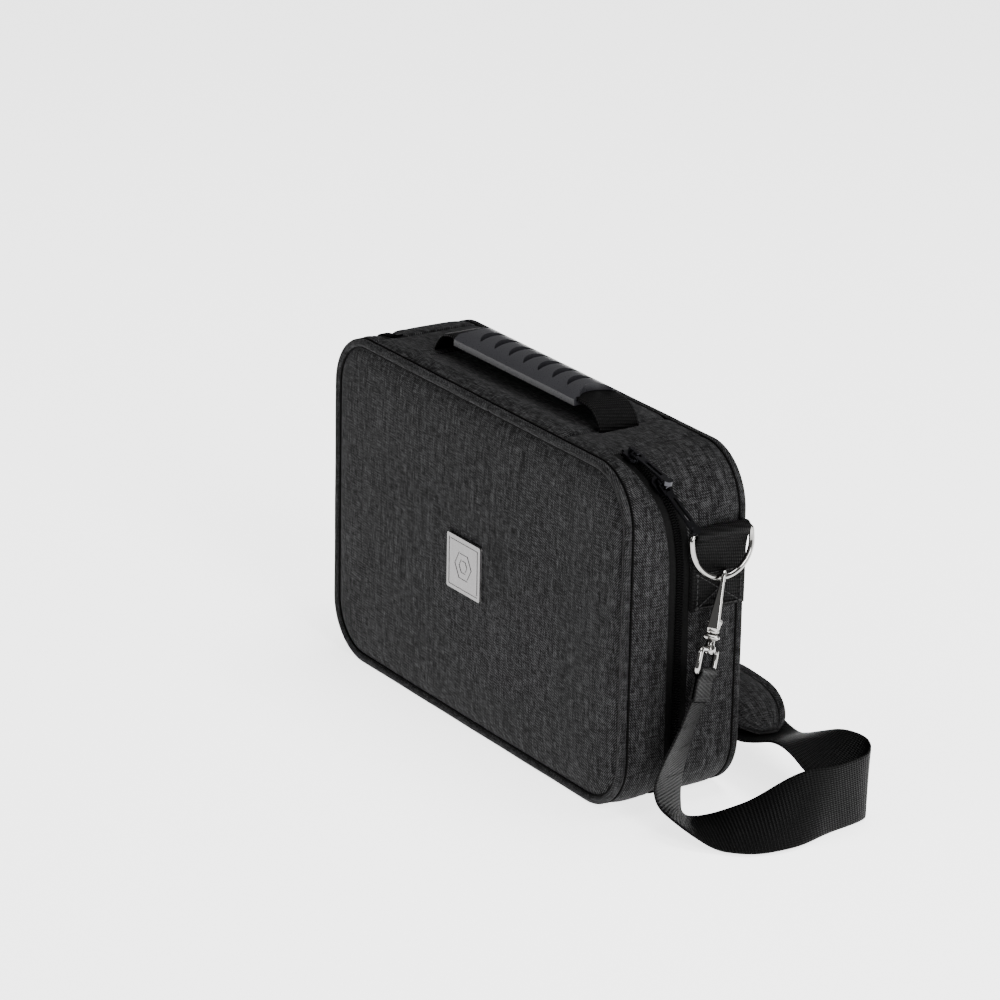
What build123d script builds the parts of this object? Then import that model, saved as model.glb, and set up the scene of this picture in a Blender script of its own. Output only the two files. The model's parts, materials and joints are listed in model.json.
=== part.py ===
"""Padded carry case for tabletop miniatures, with its zip, handle, foam trays and shoulder strap.

Millimetres. X runs along the width, the front faces -Y and +Z is up. The origin is on the
floor, under the middle of the case. One STEP file is written for each physical piece.
"""

import os
from math import cos, radians, sin, sqrt

from build123d import *

# ---- Case -------------------------------------------------------------------------------
CASE_W = 300.0
CASE_H = 196.0
CASE_D = 78.0
CORNER_R = 32.5
WALL = 3.0  # padded fabric wall
LINER = 1.0  # inner lining cloth
PIPE_R = 2.4  # covered piping along the front and back edges
PANEL_T = 4.2  # front and back panels: cloth over board and foam
PANEL_FACE = CASE_D / 2 - 0.4
FRONT_CROWN = 4.4  # how far the front panel's middle stands out of its edge
SEAM_Y = CASE_D / 2 - 2 * PIPE_R  # where the side walls meet the piping

# ---- Opening line and zip ---------------------------------------------------------------
SPLIT_Y = -3.5  # the zip's middle on the sides and bottom
SPLIT_BEND_Z = 131.0  # above this height the zip bends forward
ZIP_TOP_Y = -19.5  # where the zip ends, on top of the case
FOLD_Y = -25.0  # the top cloth folds here, in front of the zip's ends
FOLD_GAP = 0.4
ZIP_HALF = 6.0  # half the width of zip that shows
TEETH_HALF = 3.3
TEETH_GAP = 0.4
CAP_SEAM_X = 114.0  # seam between a side wall and a top cap
CENTRE_SEAM_X = 78.0  # seam between a top cap and the centre panel

# ---- Handle -----------------------------------------------------------------------------
HANDLE_WEB_W = 25.0
HANDLE_WEB_T = 2.0
HANDLE_WEB_Z = 208.6
HANDLE_FOOT = (80.0, 203.0)
HANDLE_BEND_X = 68.0
HANDLE_BEND_R = 9.0
GRIP_L = 122.0
GRIP_W = 28.6
GRIP_BASE_Z = 205.2
GRIP_SIDE_Z = 208.8
GRIP_CROWN_Z = 214.4
GRIP_CHANNEL = 0.3  # clearance round the webbing
GRIP_SLOTS = 7
SLOT_PITCH = 14.6
SLOT_CHORD = 19.0
SLOT_DEPTH = 6.0

# ---- Badge ------------------------------------------------------------------------------
BADGE_X = 0.0
BADGE_Z = 98.4
BADGE_W = 34.0
BADGE_H = 32.0
BADGE_T = 1.5

# ---- Foam trays -------------------------------------------------------------------------
TRAY_W = 275.0
TRAY_H = 172.5
TRAY_R = 20.0
TRAY_Z0 = 6.0
TRAY_BASE = 5.0
TRAY_MARGIN = 10.0
FRONT_TRAY_Y = (-29.4, -4.4)
REAR_TRAY_Y = (-4.0, 33.0)
FRONT_POCKETS = (4, 3)
REAR_POCKETS = (3, 2)
POCKET_GAP = 7.0
LID_FOAM_Y = (-33.0, -29.8)

# ---- Side webbing and D-rings -----------------------------------------------------------
SIDE_Y = 19.5  # middle of the webbing patch on each side
PATCH_W = 34.4
PATCH_T = 1.6
PATCH_Z0 = 113.0
BAR_X = 153.8
BAR_Z = 157.0
ROLL_R = 3.5
RING_WIRE_R = 1.6
RING_HALF = 19.3
RING_DROP = 6.0
RING_CORNER = 3.0
RING_TILT = 8.0
RING_DEPTH = RING_DROP + RING_HALF

# ---- Snap hook, measured down from the middle of its bow --------------------------------
BOW_R = (4.0, 6.2)
BOW_BELOW_WIRE = 0.9
SPINE_X = (4.4, 7.4)
WEB_Z = (-30.0, -27.0)
COLLAR_Z = (-33.0, -30.0)
COLLAR_W = 8.8  # across the hook; along it the collar is as wide as the web
HOOK_T = (2.0, 6.6)  # thickness at the top of the bow and at the web
GATE_PIVOT = (-5.0, -23.6)
GATE_W = 3.2
GATE_TOP_Z = -1.9
PIN_R = 0.9
SWIVEL_R = 2.2
RUNNING = 0.06
EYE_HALF = 20.9
EYE_Z = (-51.0, -38.5)
EYE_WIRE_R = 1.5
EYE_CORNER = 2.0

# ---- Shoulder strap ---------------------------------------------------------------------
STRAP_W = 38.0
STRAP_T = 1.5
TAIL_END_Z = -66.0  # end of the sewn loop below the eye
STRAP_GAP = 1.0  # between the sewn loop and the strap that hangs from it
PAD_W = 46.0
PAD_T = 13.0
PAD_END_RIGHT = 50.0  # long half-axis of the oval that rounds off each end, seen from above
PAD_END_LEFT = 36.0
ADJUSTER_W = 46.0  # two-slot slider that sets the strap's length
ADJUSTER_L = 26.0
ADJUSTER_T = 4.0
ADJUSTER_BAR = 5.0

os.makedirs("parts", exist_ok=True)


def save(name, shape):
    """Write one piece as parts/NAME.step."""
    shape.label = name
    export_step(shape, f"parts/{name}.step")


def block(x, y, z):
    """A box between two limits on each axis."""
    size = [abs(b - a) for a, b in (x, y, z)]
    middle = [(a + b) / 2 for a, b in (x, y, z)]
    return Pos(*middle) * Box(*size)


def rod(start, end, radius):
    """A cylinder between two points."""
    start, end = Vector(*start), Vector(*end)
    return extrude(Plane(origin=start, z_dir=end - start) * Circle(radius), (end - start).length)


# ---- The case's outline and the surface where it opens ----------------------------------


def face_plane(y):
    return Plane(origin=(0, y, CASE_H / 2), x_dir=(1, 0, 0), z_dir=(0, -1, 0))


def outline(inset, y):
    width, height = CASE_W - 2 * inset, CASE_H - 2 * inset
    return face_plane(y) * RectangleRounded(width, height, CORNER_R - inset)


def slab(inset, front, back):
    """The case's outline, drawn in by inset, from one Y to another."""
    return extrude(outline(inset, back), back - front)


def band(inset, thickness, front=-60.0, back=60.0):
    """A wall that follows the case's outline."""
    return slab(inset, front, back) - slab(inset + thickness, front - 1, back + 1)


def split_line(shift):
    """The opening line in side view, bottom to top: upright, then an arc that leans forward."""
    low = (SPLIT_Y + shift, -30)
    bend = (SPLIT_Y + shift, SPLIT_BEND_Z)
    top = (ZIP_TOP_Y + shift, CASE_H - 1)
    high = (ZIP_TOP_Y + shift, CASE_H + 60)
    return [Line(low, bend), TangentArc(bend, top, tangent=(0, 1)), Line(top, high)]


def between(front, back):
    """Everything between two side-view lines, each a shift of the opening line or far away."""
    lines = []
    for shift, far in ((front, -90), (back, 90)):
        lines.append([Line((far, -30), (far, CASE_H + 60))] if shift is None else split_line(shift))
    ends = [(side[0] @ 0, side[-1] @ 1) for side in lines]
    closing = [Line(ends[0][0], ends[1][0]), Line(ends[0][1], ends[1][1])]
    return extrude(Plane.YZ * make_face(lines[0] + lines[1] + closing), CASE_W, both=True)


def top_span(half_inner, half_outer, side):
    """The top of the case between two distances from the middle, on one side."""
    return block((side * half_inner, side * half_outer), (-60, 60), (150, 250))


FULL_TOP = block((-CAP_SEAM_X, CAP_SEAM_X), (-60, 60), (150, 250))
CENTRE_TOP = block((-CENTRE_SEAM_X, CENTRE_SEAM_X), (-60, 60), (150, 250))


def split_y_at(z):
    """Y of the opening line at a height."""
    if z <= SPLIT_BEND_Z:
        return SPLIT_Y
    rise, run = CASE_H - 1 - SPLIT_BEND_Z, SPLIT_Y - ZIP_TOP_Y
    radius = (rise**2 + run**2) / (2 * run)
    return SPLIT_Y - radius + sqrt(radius**2 - min(z - SPLIT_BEND_Z, rise) ** 2)


# ---- Walls, panels, piping and linings --------------------------------------------------


def piping(y):
    path = outline(PIPE_R, y).wire()
    start = Plane(origin=path @ 0, z_dir=path % 0)
    return sweep(start * Circle(PIPE_R), path=path)


def crowned(panel):
    """The part of a thick front panel that lies behind a gentle crown in both directions."""
    for axis, half in ((Axis.Z, CASE_W / 2 - 2 * PIPE_R), (Axis.X, CASE_H / 2 - 2 * PIPE_R)):
        radius = (half**2 + FRONT_CROWN**2) / (2 * FRONT_CROWN)
        centre_y = radius - PANEL_FACE - FRONT_CROWN
        plane = Plane(origin=(0, centre_y, CASE_H / 2), z_dir=axis.direction)
        panel &= extrude(plane * Circle(radius), CASE_W, both=True)
    return panel


def make_shells():
    gap = FOLD_GAP / 2
    for name, front, back, seam in (
        ("lid", None, -ZIP_HALF, (-SEAM_Y, 60)),
        ("body", ZIP_HALF, None, (-60, SEAM_Y)),
    ):
        save(f"{name}_gusset", band(0, WALL, *seam) & between(front, back) - FULL_TOP)

    lid_top = band(0, WALL, -SEAM_Y, FOLD_Y - gap)
    body_top = band(0, WALL, FOLD_Y + gap, SEAM_Y)
    save("lid_top_panel", lid_top & CENTRE_TOP)
    save("top_panel", body_top & CENTRE_TOP)
    for side, word in ((1, "right"), (-1, "left")):
        cap = top_span(CENTRE_SEAM_X, CAP_SEAM_X, side)
        save(f"lid_cap_{word}", lid_top & cap)
        save(f"top_cap_{word}", body_top & cap)

    panel_inset = 2 * PIPE_R
    save("front_panel", crowned(slab(panel_inset, -PANEL_FACE - FRONT_CROWN, -PANEL_FACE + PANEL_T)))
    save("back_panel", slab(panel_inset, PANEL_FACE - PANEL_T, PANEL_FACE))
    save("front_piping", piping(-CASE_D / 2 + PIPE_R))
    save("back_piping", piping(CASE_D / 2 - PIPE_R))

    outer, inner = WALL, WALL + LINER
    lid_tub = slab(outer, -SEAM_Y, 60) - slab(inner, -SEAM_Y + LINER, 61)
    body_tub = slab(outer, -60, SEAM_Y) - slab(inner, -61, SEAM_Y - LINER)
    save("lid_lining", lid_tub & between(None, -ZIP_HALF))
    save("body_lining", body_tub & between(1.0, None))
    save("lid_foam", slab(inner + 1, *LID_FOAM_Y))


def make_zip():
    tape_inset, tape_t = 0.6, 1.2
    teeth_inset, teeth_t = 0.1, 2.4
    half_gap = TEETH_GAP / 2
    tape, teeth = band(tape_inset, tape_t) - FULL_TOP, band(teeth_inset, teeth_t) - FULL_TOP
    save("zip_tape_lid", tape & between(-ZIP_HALF, -TEETH_HALF))
    save("zip_teeth_lid", teeth & between(-TEETH_HALF, -half_gap))
    save("zip_teeth_body", teeth & between(half_gap, TEETH_HALF))
    save("zip_tape_body", tape & between(TEETH_HALF, ZIP_HALF))
    stops = [
        block((side * (CAP_SEAM_X + 0.4), side * (CAP_SEAM_X + 2.6)),
              (ZIP_TOP_Y + 0.6, ZIP_TOP_Y + 4.6), (CASE_H + 0.1, CASE_H + 1.3))
        for side in (1, -1)
    ]
    save("zip_stops", Compound(children=stops))


# ---- Zip sliders ------------------------------------------------------------------------

CORNER_X = CASE_W / 2 - CORNER_R
CORNER_Z = CASE_H - CORNER_R
SLIDER_ANGLES = {"lower": 40.0, "upper": 76.0}
SLIDER_CLEAR = 0.9
SLIDER_L = 10.5
SLIDER_W = 8.6
SLIDER_T = 2.2
BAIL_TOP = 6.2
TAB_HINGE = (0.8, 4.2)  # along the zip and above the wall, in the slider's own frame
TAB_L = 31.0
TAB_W = 4.4
TAB_T = 1.5
TAB_WIRE_R = 0.6
TAB_ARM_Y = 2.2


def track(angle):
    """A point of the zip's middle on the top right corner; 0 is where the straight side begins."""
    a = radians(angle)
    z = CORNER_Z + CORNER_R * sin(a)
    return Vector(CORNER_X + CORNER_R * cos(a), split_y_at(z), z)


def slider_plane(angle):
    """Frame of a slider: X' down the zip, Z' out of the wall."""
    forward = (track(angle - 1) - track(angle + 1)).normalized()
    outward = Vector(cos(radians(angle)), 0, sin(radians(angle)))
    outward = (outward - forward * outward.dot(forward)).normalized()
    return Plane(origin=track(angle), x_dir=forward, z_dir=outward)


def slider_body():
    low, top = SLIDER_CLEAR, SLIDER_CLEAR + SLIDER_T
    plate = block((-SLIDER_L / 2, SLIDER_L / 2), (-SLIDER_W / 2, SLIDER_W / 2), (low, top))
    plate = chamfer(plate.edges().filter_by(Axis.Z), 2.0)
    bail = block((-3.6, 4.0), (-1.0, 1.0), (top - 0.2, BAIL_TOP))
    window = block((-2.4, 2.8), (-2.0, 2.0), (top, BAIL_TOP - 1.0))
    return plate + fillet(bail.edges().filter_by(Axis.Y).group_by(Axis.Z)[-1], 0.9) - window


def pull_tab():
    x, z = TAB_HINGE
    bar = rod((x, -TAB_ARM_Y - 0.6, z), (x, TAB_ARM_Y + 0.6, z), TAB_WIRE_R)
    arms = [
        block((x - 0.6, 7.0), (side * (TAB_ARM_Y - 0.6), side * (TAB_ARM_Y + 0.6)), (z - 0.6, z + 0.6))
        for side in (1, -1)
    ]
    half = TAB_T / 2
    stem = block((5.8, TAB_L), (-TAB_W / 2, TAB_W / 2), (z - half, z + half))
    stem = stem - block((10.0, TAB_L - 6.0), (-TAB_W / 5, TAB_W / 5), (z - half - 1, z + half + 1))
    knob = Pos(TAB_L, 0, z) * Cylinder(TAB_W / 2 + 0.3, TAB_T + 1.0)
    return bar + arms[0] + arms[1] + stem + knob


def make_sliders():
    for word, angle in SLIDER_ANGLES.items():
        place = slider_plane(angle).location
        save(f"slider_{word}", place * slider_body())
        save(f"pull_tab_{word}", place * pull_tab())


# ---- Handle -----------------------------------------------------------------------------


def handle_path():
    foot_x, foot_z = HANDLE_FOOT
    points = [(-foot_x, 0, foot_z), (-HANDLE_BEND_X, 0, HANDLE_WEB_Z),
              (HANDLE_BEND_X, 0, HANDLE_WEB_Z), (foot_x, 0, foot_z)]
    return FilletPolyline(points, radius=HANDLE_BEND_R)


def make_handle():
    path = handle_path()
    section = Plane(origin=path @ 0, x_dir=(0, 1, 0), z_dir=path % 0)
    save("handle_webbing", sweep(section * Rectangle(HANDLE_WEB_W, HANDLE_WEB_T), path=path))

    half = GRIP_W / 2
    left, right = (-half, GRIP_SIDE_Z), (half, GRIP_SIDE_Z)
    edges = [
        Line((-half, GRIP_BASE_Z), (half, GRIP_BASE_Z)),
        Line((half, GRIP_BASE_Z), right),
        ThreePointArc(right, (0, GRIP_CROWN_Z), left),
        Line(left, (-half, GRIP_BASE_Z)),
    ]
    grip = extrude(Plane.YZ * make_face(edges), GRIP_L / 2, both=True)
    web_half = HANDLE_WEB_W / 2 + GRIP_CHANNEL
    web_low = HANDLE_WEB_Z - HANDLE_WEB_T / 2 - GRIP_CHANNEL
    web_high = HANDLE_WEB_Z + HANDLE_WEB_T / 2 + GRIP_CHANNEL
    grip -= block((-GRIP_L, GRIP_L), (-web_half, web_half), (web_low, web_high))
    radius = (SLOT_CHORD**2 / 4 + SLOT_DEPTH**2) / (2 * SLOT_DEPTH)
    for i in range(GRIP_SLOTS):
        chord_x = (i - (GRIP_SLOTS - 1) / 2) * SLOT_PITCH + SLOT_DEPTH / 2
        moon = Pos(chord_x - SLOT_DEPTH + radius, 0, 0) * Circle(radius)
        moon &= Pos(chord_x - SLOT_DEPTH / 2, 0, 0) * Rectangle(SLOT_DEPTH, GRIP_W)
        grip -= Pos(0, 0, web_high - 0.5) * extrude(moon, 20)
    for side in (1, -1):
        notch = Pos(side * (GRIP_L / 2 + 7.5), 0, web_high - 0.5) * extrude(Circle(13), 20)
        grip -= notch
    save("handle_grip", grip)


# ---- Badge and foam ---------------------------------------------------------------------


def make_badge():
    back = -PANEL_FACE - FRONT_CROWN - 0.05
    plane = Plane(origin=(BADGE_X, back, BADGE_Z), x_dir=(1, 0, 0), z_dir=(0, -1, 0))
    badge = extrude(plane * RectangleRounded(BADGE_W, BADGE_H, 1.2), BADGE_T)
    face = plane.offset(BADGE_T - 0.3)
    border = RectangleRounded(BADGE_W - 4, BADGE_H - 4, 0.8) - RectangleRounded(BADGE_W - 6, BADGE_H - 6, 0.6)
    hexagon = RegularPolygon(9.0, 6) - RegularPolygon(7.8, 6)
    core = RegularPolygon(4.6, 6) - RegularPolygon(3.4, 6)
    for mark in (border, hexagon, core):
        badge -= extrude(face * mark, 1)
    save("badge_plate", badge)


def pocket_grid(counts):
    """Centres and size of a tray's pockets."""
    columns, rows = counts
    width = (TRAY_W - 2 * TRAY_MARGIN - (columns - 1) * POCKET_GAP) / columns
    height = (TRAY_H - 2 * TRAY_MARGIN - (rows - 1) * POCKET_GAP) / rows
    centres = [
        ((i - (columns - 1) / 2) * (width + POCKET_GAP), (j - (rows - 1) / 2) * (height + POCKET_GAP))
        for i in range(columns)
        for j in range(rows)
    ]
    return centres, width, height


def make_trays():
    for word, (front, back), counts in (
        ("front", FRONT_TRAY_Y, FRONT_POCKETS),
        ("rear", REAR_TRAY_Y, REAR_POCKETS),
    ):
        middle = TRAY_Z0 + TRAY_H / 2
        plane = Plane(origin=(0, back, middle), x_dir=(1, 0, 0), z_dir=(0, -1, 0))
        sheet = RectangleRounded(TRAY_W, TRAY_H, TRAY_R)
        save(f"tray_{word}_base", extrude(plane * sheet, TRAY_BASE))
        centres, width, height = pocket_grid(counts)
        for x, z in centres:
            sheet -= Pos(x, z) * RectangleRounded(width, height, 5)
        depth = back - front - TRAY_BASE
        save(f"tray_{word}_grid", extrude(plane.offset(TRAY_BASE) * sheet, depth))


# ---- Side hardware, drawn on the right and turned half round for the left ---------------


def both_sides(name, shape):
    save(f"{name}_right", shape)
    turned = shape.rotate(Axis((0, SIDE_Y, 0), (0, 0, 1)), 180)
    save(f"{name}_left", turned)


def web_patch():
    half = PATCH_W / 2
    across = (SIDE_Y - half, SIDE_Y + half)
    flat = block((CASE_W / 2, CASE_W / 2 + PATCH_T), across, (PATCH_Z0, BAR_Z))
    ends = [(BAR_X, y, BAR_Z) for y in across]
    bore = [(BAR_X, y, BAR_Z) for y in (across[0] - 1, across[1] + 1)]
    return flat + rod(*ends, ROLL_R) - rod(*bore, RING_WIRE_R + 0.3)


def d_ring():
    """Closed wire: a straight bar on top, two tight corners and a round bow."""
    straight = RING_HALF - RING_CORNER
    turn = RING_CORNER * (1 - cos(radians(45)))
    path = Wire([
        Line((-straight, 0), (straight, 0)),
        ThreePointArc((straight, 0), (RING_HALF - turn, -turn), (RING_HALF, -RING_CORNER)),
        Line((RING_HALF, -RING_CORNER), (RING_HALF, -RING_DROP)),
        ThreePointArc((RING_HALF, -RING_DROP), (0, -RING_DEPTH), (-RING_HALF, -RING_DROP)),
        Line((-RING_HALF, -RING_DROP), (-RING_HALF, -RING_CORNER)),
        ThreePointArc((-RING_HALF, -RING_CORNER), (-RING_HALF + turn, -turn), (-straight, 0)),
    ])
    plane = Plane(origin=(BAR_X, SIDE_Y, BAR_Z), x_dir=(0, 1, 0), z_dir=(1, 0, 0))
    path = plane * path
    ring = sweep(Plane(origin=path @ 0, z_dir=path % 0) * Circle(RING_WIRE_R), path=path)
    return ring.rotate(Axis((BAR_X, SIDE_Y, BAR_Z), (0, 1, 0)), -RING_TILT)


def ring_bottom():
    """Middle of the ring's wire at the lowest point of its bow."""
    tilt = radians(RING_TILT)
    return Vector(BAR_X + RING_DEPTH * sin(tilt), SIDE_Y, BAR_Z - RING_DEPTH * cos(tilt))


HOOK_DOWN = Vector(0.177, -0.327, -0.929).normalized()  # the hook leans out and to the front
HOOK_AZIMUTH = -41.0  # heading of the hook's spine
EYE_AZIMUTH = -50.0  # heading of the eye's outer end, turned on the swivel


def hook_plane(azimuth):
    """Frame of a snap hook: X' to its spine, Z' up its length, origin in the middle of its bow."""
    across = Vector(cos(radians(azimuth)), sin(radians(azimuth)), 0)
    across = (across - HOOK_DOWN * across.dot(HOOK_DOWN)).normalized()
    origin = ring_bottom() + HOOK_DOWN * BOW_BELOW_WIRE
    return Plane(origin=origin, x_dir=across, z_dir=-HOOK_DOWN)


def snap_hook():
    """Bow, tapered spine and nose in one flat casting, on a web and an oblong collar."""
    inner, outer = BOW_R
    spine_in, spine_out = SPINE_X
    web_low, web_top = WEB_Z
    bow = (Circle(outer) - Circle(inner)) & (Pos(0, outer / 2) * Rectangle(2 * outer, outer))
    nose = Pos(-(inner + outer) / 2, -0.75) * Rectangle(outer - inner, 1.5)
    spine = make_face(Polyline((inner, 0), (outer, 0), (spine_out, web_top), (spine_in, web_top), close=True))
    flat = extrude(Plane.XZ * (bow + nose + spine), 6, both=True)
    top, bottom = HOOK_T[0] / 2, HOOK_T[1] / 2
    taper = make_face(Polyline((-top, outer + 1), (top, outer + 1), (bottom, web_top - 1),
                               (-bottom, web_top - 1), close=True))
    body = flat & extrude(Plane.YZ * taper, 20, both=True)
    body += block((-spine_out, spine_out), (-bottom, bottom), (web_low, web_top))
    collar = Pos(0, 0, COLLAR_Z[0]) * RectangleRounded(2 * spine_out, COLLAR_W, COLLAR_W / 2 - 0.4)
    body += extrude(collar, COLLAR_Z[1] - COLLAR_Z[0])
    pivot_x, pivot_z = GATE_PIVOT
    ear = Pos(pivot_x, pivot_z) * Circle(2.2) + Pos(pivot_x, (pivot_z + web_top) / 2) * Rectangle(
        4.4, pivot_z - web_top)
    for side in (1, -1):
        body += Pos(0, side * (bottom + GATE_W / 2 + 0.25) / 2, 0) * extrude(
            Plane.XZ * ear, (bottom - GATE_W / 2 - 0.25) / 2, both=True)
    body -= rod((0, 0, COLLAR_Z[0] - 1), (0, 0, web_top + 1), SWIVEL_R + RUNNING)
    body -= rod((pivot_x, -9, pivot_z), (pivot_x, 9, pivot_z), PIN_R + RUNNING)
    groove = make_face(Polyline((-0.5, outer - 4), (0.5, outer - 4), (1.7, web_top + 1), (-1.7, web_top + 1),
                                close=True))
    return body - Pos(outer + 0.9, 0, 0) * extrude(Plane.YZ * groove, 0.9, both=True)


def gate():
    pivot_x, pivot_z = GATE_PIVOT
    inner, outer = BOW_R
    lever = make_face(Polyline((-inner - 0.2, GATE_TOP_Z), (-outer + 0.2, GATE_TOP_Z),
                               (pivot_x - 1.6, pivot_z), (pivot_x + 1.6, pivot_z), close=True))
    flat = lever + Pos(pivot_x, pivot_z) * Circle(1.6)
    body = extrude(Plane.XZ * flat, GATE_W / 2, both=True)
    thumb = rod((-outer + 0.3, -GATE_W / 2, -13), (-outer + 0.3, GATE_W / 2, -13), 1.1)
    return body + thumb - rod((pivot_x, -9, pivot_z), (pivot_x, 9, pivot_z), PIN_R + RUNNING)


def swivel_eye():
    low, top = EYE_Z
    half, corner = EYE_HALF, EYE_CORNER
    frame = Plane.XZ * (Pos(0, (low + top) / 2) * RectangleRounded(2 * half, top - low, corner))
    path = frame.wire()
    loop = sweep(Plane(origin=path @ 0, z_dir=path % 0) * Circle(EYE_WIRE_R), path=path)
    boss = rod((0, 0, top - 2.2), (0, 0, top + 2.2), 3.4)
    shaft = rod((0, 0, top), (0, 0, WEB_Z[1] + 0.5), SWIVEL_R)
    head = rod((0, 0, WEB_Z[1] + 0.25), (0, 0, WEB_Z[1] + 1.6), SWIVEL_R + 0.5)
    return loop + boss + shaft + head


def strap_end():
    """The strap's sewn loop round the eye's lower bar, ending in a doubled tail."""
    low, half = EYE_Z[0], STRAP_W / 2
    roll = rod((-half, 0, low), (half, 0, low), EYE_WIRE_R + 2)
    tail = block((-half, half), (-STRAP_T - 0.2, STRAP_T + 0.2), (TAIL_END_Z, low - 2))
    return roll + tail - rod((-half - 1, 0, low), (half + 1, 0, low), EYE_WIRE_R + 0.3)


def make_side_hardware():
    both_sides("web_patch", web_patch())
    both_sides("d_ring", d_ring())
    place = hook_plane(HOOK_AZIMUTH).location
    turned = hook_plane(EYE_AZIMUTH).location
    pivot_x, pivot_z = GATE_PIVOT
    pin_half = HOOK_T[1] / 2
    both_sides("snap_hook", place * snap_hook())
    both_sides("gate", place * gate())
    both_sides("gate_pin", place * rod((pivot_x, -pin_half, pivot_z), (pivot_x, pin_half, pivot_z), PIN_R))
    both_sides("swivel_eye", turned * swivel_eye())
    both_sides("strap_end", turned * strap_end())


# ---- Shoulder strap and pad -------------------------------------------------------------
# A strap stretch that twists is given by stations: the middle of the webbing and the
# direction of its width. A stretch that stands on its edge is given by its line on the floor.

EDGE_Z = (0.5, 0.5 + STRAP_W)
EYE = hook_plane(EYE_AZIMUTH)
TAIL_END = EYE.origin + HOOK_DOWN * (STRAP_GAP - TAIL_END_Z)
RIGHT_FALL = [
    (tuple(TAIL_END), tuple(EYE.x_dir)),
    ((168, -8, 56), (0.68, -0.71, 0.18)),
    ((166, -13, 40.5), (0.56, -0.81, 0.15)),
    ((165, -16.5, 27), (0.51, -0.83, 0.20)),
    ((166, -18, 15.5), (0.50, -0.80, 0.33)),
    ((173, -21, 9.8), (0.57, -0.74, 0.35)),
    ((181, -20, 7), (0.72, -0.63, 0.27)),
    ((189, -14, 3.4), (0.87, -0.49, 0.08)),
    ((198, -7, 4), (0.89, -0.45, -0.13)),
    ((208, 3, 10), (0.80, -0.40, -0.45)),
    ((215, 14, 16.4), (0.50, -0.22, -0.83)),
    ((219.5, 27, 19.5), (0.10, -0.03, -0.99)),
]
RIGHT_RUN = [(219.8, 28), (219.5, 48), (217, 66), (214, 80), (203, 84), (191, 81)]
RIGHT_RISE = [
    ((190.2, 80.8, 19.5), (0, 0, -1)),
    ((178, 75, 24), (0.45, -0.45, -0.77)),
    ((166, 70.5, 27.5), (0.66, -0.72, -0.20)),
    ((155.5, 67.6, 28.2), (0.30, -0.95, 0.10)),
    ((144.0, 65.4, 28.0), (0.05, -1.0, 0.02)),
]
LEFT_FALL = [  # written on the right, and turned half round the case
    (tuple(TAIL_END), tuple(EYE.x_dir)),
    ((166, -10, 48), (0.62, -0.78, 0.08)),
    ((163, -14, 31), (0.40, -0.86, -0.31)),
    ((170, -18, 24), (0.10, -0.50, -0.86)),
    ((181, -22, 21), (-0.10, -0.10, -0.99)),
]
PAD_LINE = [(142, 65, 28.5), (128, 66.5, 34), (112, 68, 36.5), (82, 71, 37), (46, 75.5, 31), (14, 80, 20.5),
            (-16, 84, 12.5), (-44, 86, 8.5)]
PAD_ENDS = [((98, 69.4), -5.7, PAD_END_RIGHT), ((-14, 83.8), 174.1, PAD_END_LEFT)]
LEFT_RUN = [(-45, 86), (-76, 84), (-108, 82), (-138, 85), (-150, 95), (-140, 105), (-112, 107), (-82, 105),
            (-62, 108), (-55, 117), (-64, 126), (-92, 129), (-126, 128), (-160, 124), (-186, 112), (-198, 93),
            (-195, 74), (-181.6, 61.2)]


ADJUSTER_AT = (-126.0, 131.2)  # behind the last run of the strap's folded length


def corner_radii(points):
    """The largest arc that each corner's two runs allow."""
    radii = []
    for before, here, after in zip(points, points[1:], points[2:]):
        first, second = Vector(*here) - Vector(*before), Vector(*after) - Vector(*here)
        turn = radians(first.get_angle(second))
        half_tan = sin(turn / 2) / cos(turn / 2)
        radii.append(0.45 * min(first.length, second.length) / half_tan)
    return radii


def rounded_path(points):
    radii = corner_radii(points)
    return FilletPolyline([Vector(*p) for p in points], radius=radii), radii


def standing_strap(points, thickness=STRAP_T):
    """Webbing on its edge: its floor line, made thick and as tall as the webbing is wide."""
    low, high = EDGE_Z
    path, radii = rounded_path([(x, y, low) for x, y in points])
    section = Plane(origin=path @ 0, x_dir=(0, 0, 1), z_dir=path % 0)
    ribbon = sweep(section * Pos((high - low) / 2, 0) * Rectangle(high - low, thickness), path=path)
    return ribbon, path.length, radii


def twisted_strap(stations, width=STRAP_W, thickness=STRAP_T):
    """Webbing through stations, as one ruled solid of flat cross-sections."""
    middles = [Vector(*middle) for middle, _ in stations]
    sections = []
    for i, (_, across) in enumerate(stations):
        forward = middles[min(i + 1, len(middles) - 1)] - middles[max(i - 1, 0)]
        across = Vector(*across).normalized()
        forward = (forward - across * forward.dot(across)).normalized()
        sections.append(Plane(origin=middles[i], x_dir=across, z_dir=forward) * Rectangle(width, thickness))
    length = sum((b - a).length for a, b in zip(middles, middles[1:]))
    return loft(sections, ruled=True), length


def shoulder_pad():
    """A plain arched cushion, as wide and as thick as the pad, with oval ends."""
    path, _ = rounded_path(PAD_LINE)
    section = Plane(origin=path @ 0, x_dir=(0, -1, 0), z_dir=path % 0)
    pad = sweep(section * RectangleRounded(PAD_W, PAD_T, 3), path=path)
    for (x, y), turn, long_axis in PAD_ENDS:
        waste = Pos(long_axis, 0) * Rectangle(2 * long_axis, 2 * PAD_W) - Ellipse(long_axis, PAD_W / 2)
        pad -= Pos(x, y) * Rot(0, 0, turn) * extrude(waste, 2 * STRAP_W)
    return pad, path.length


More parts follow.
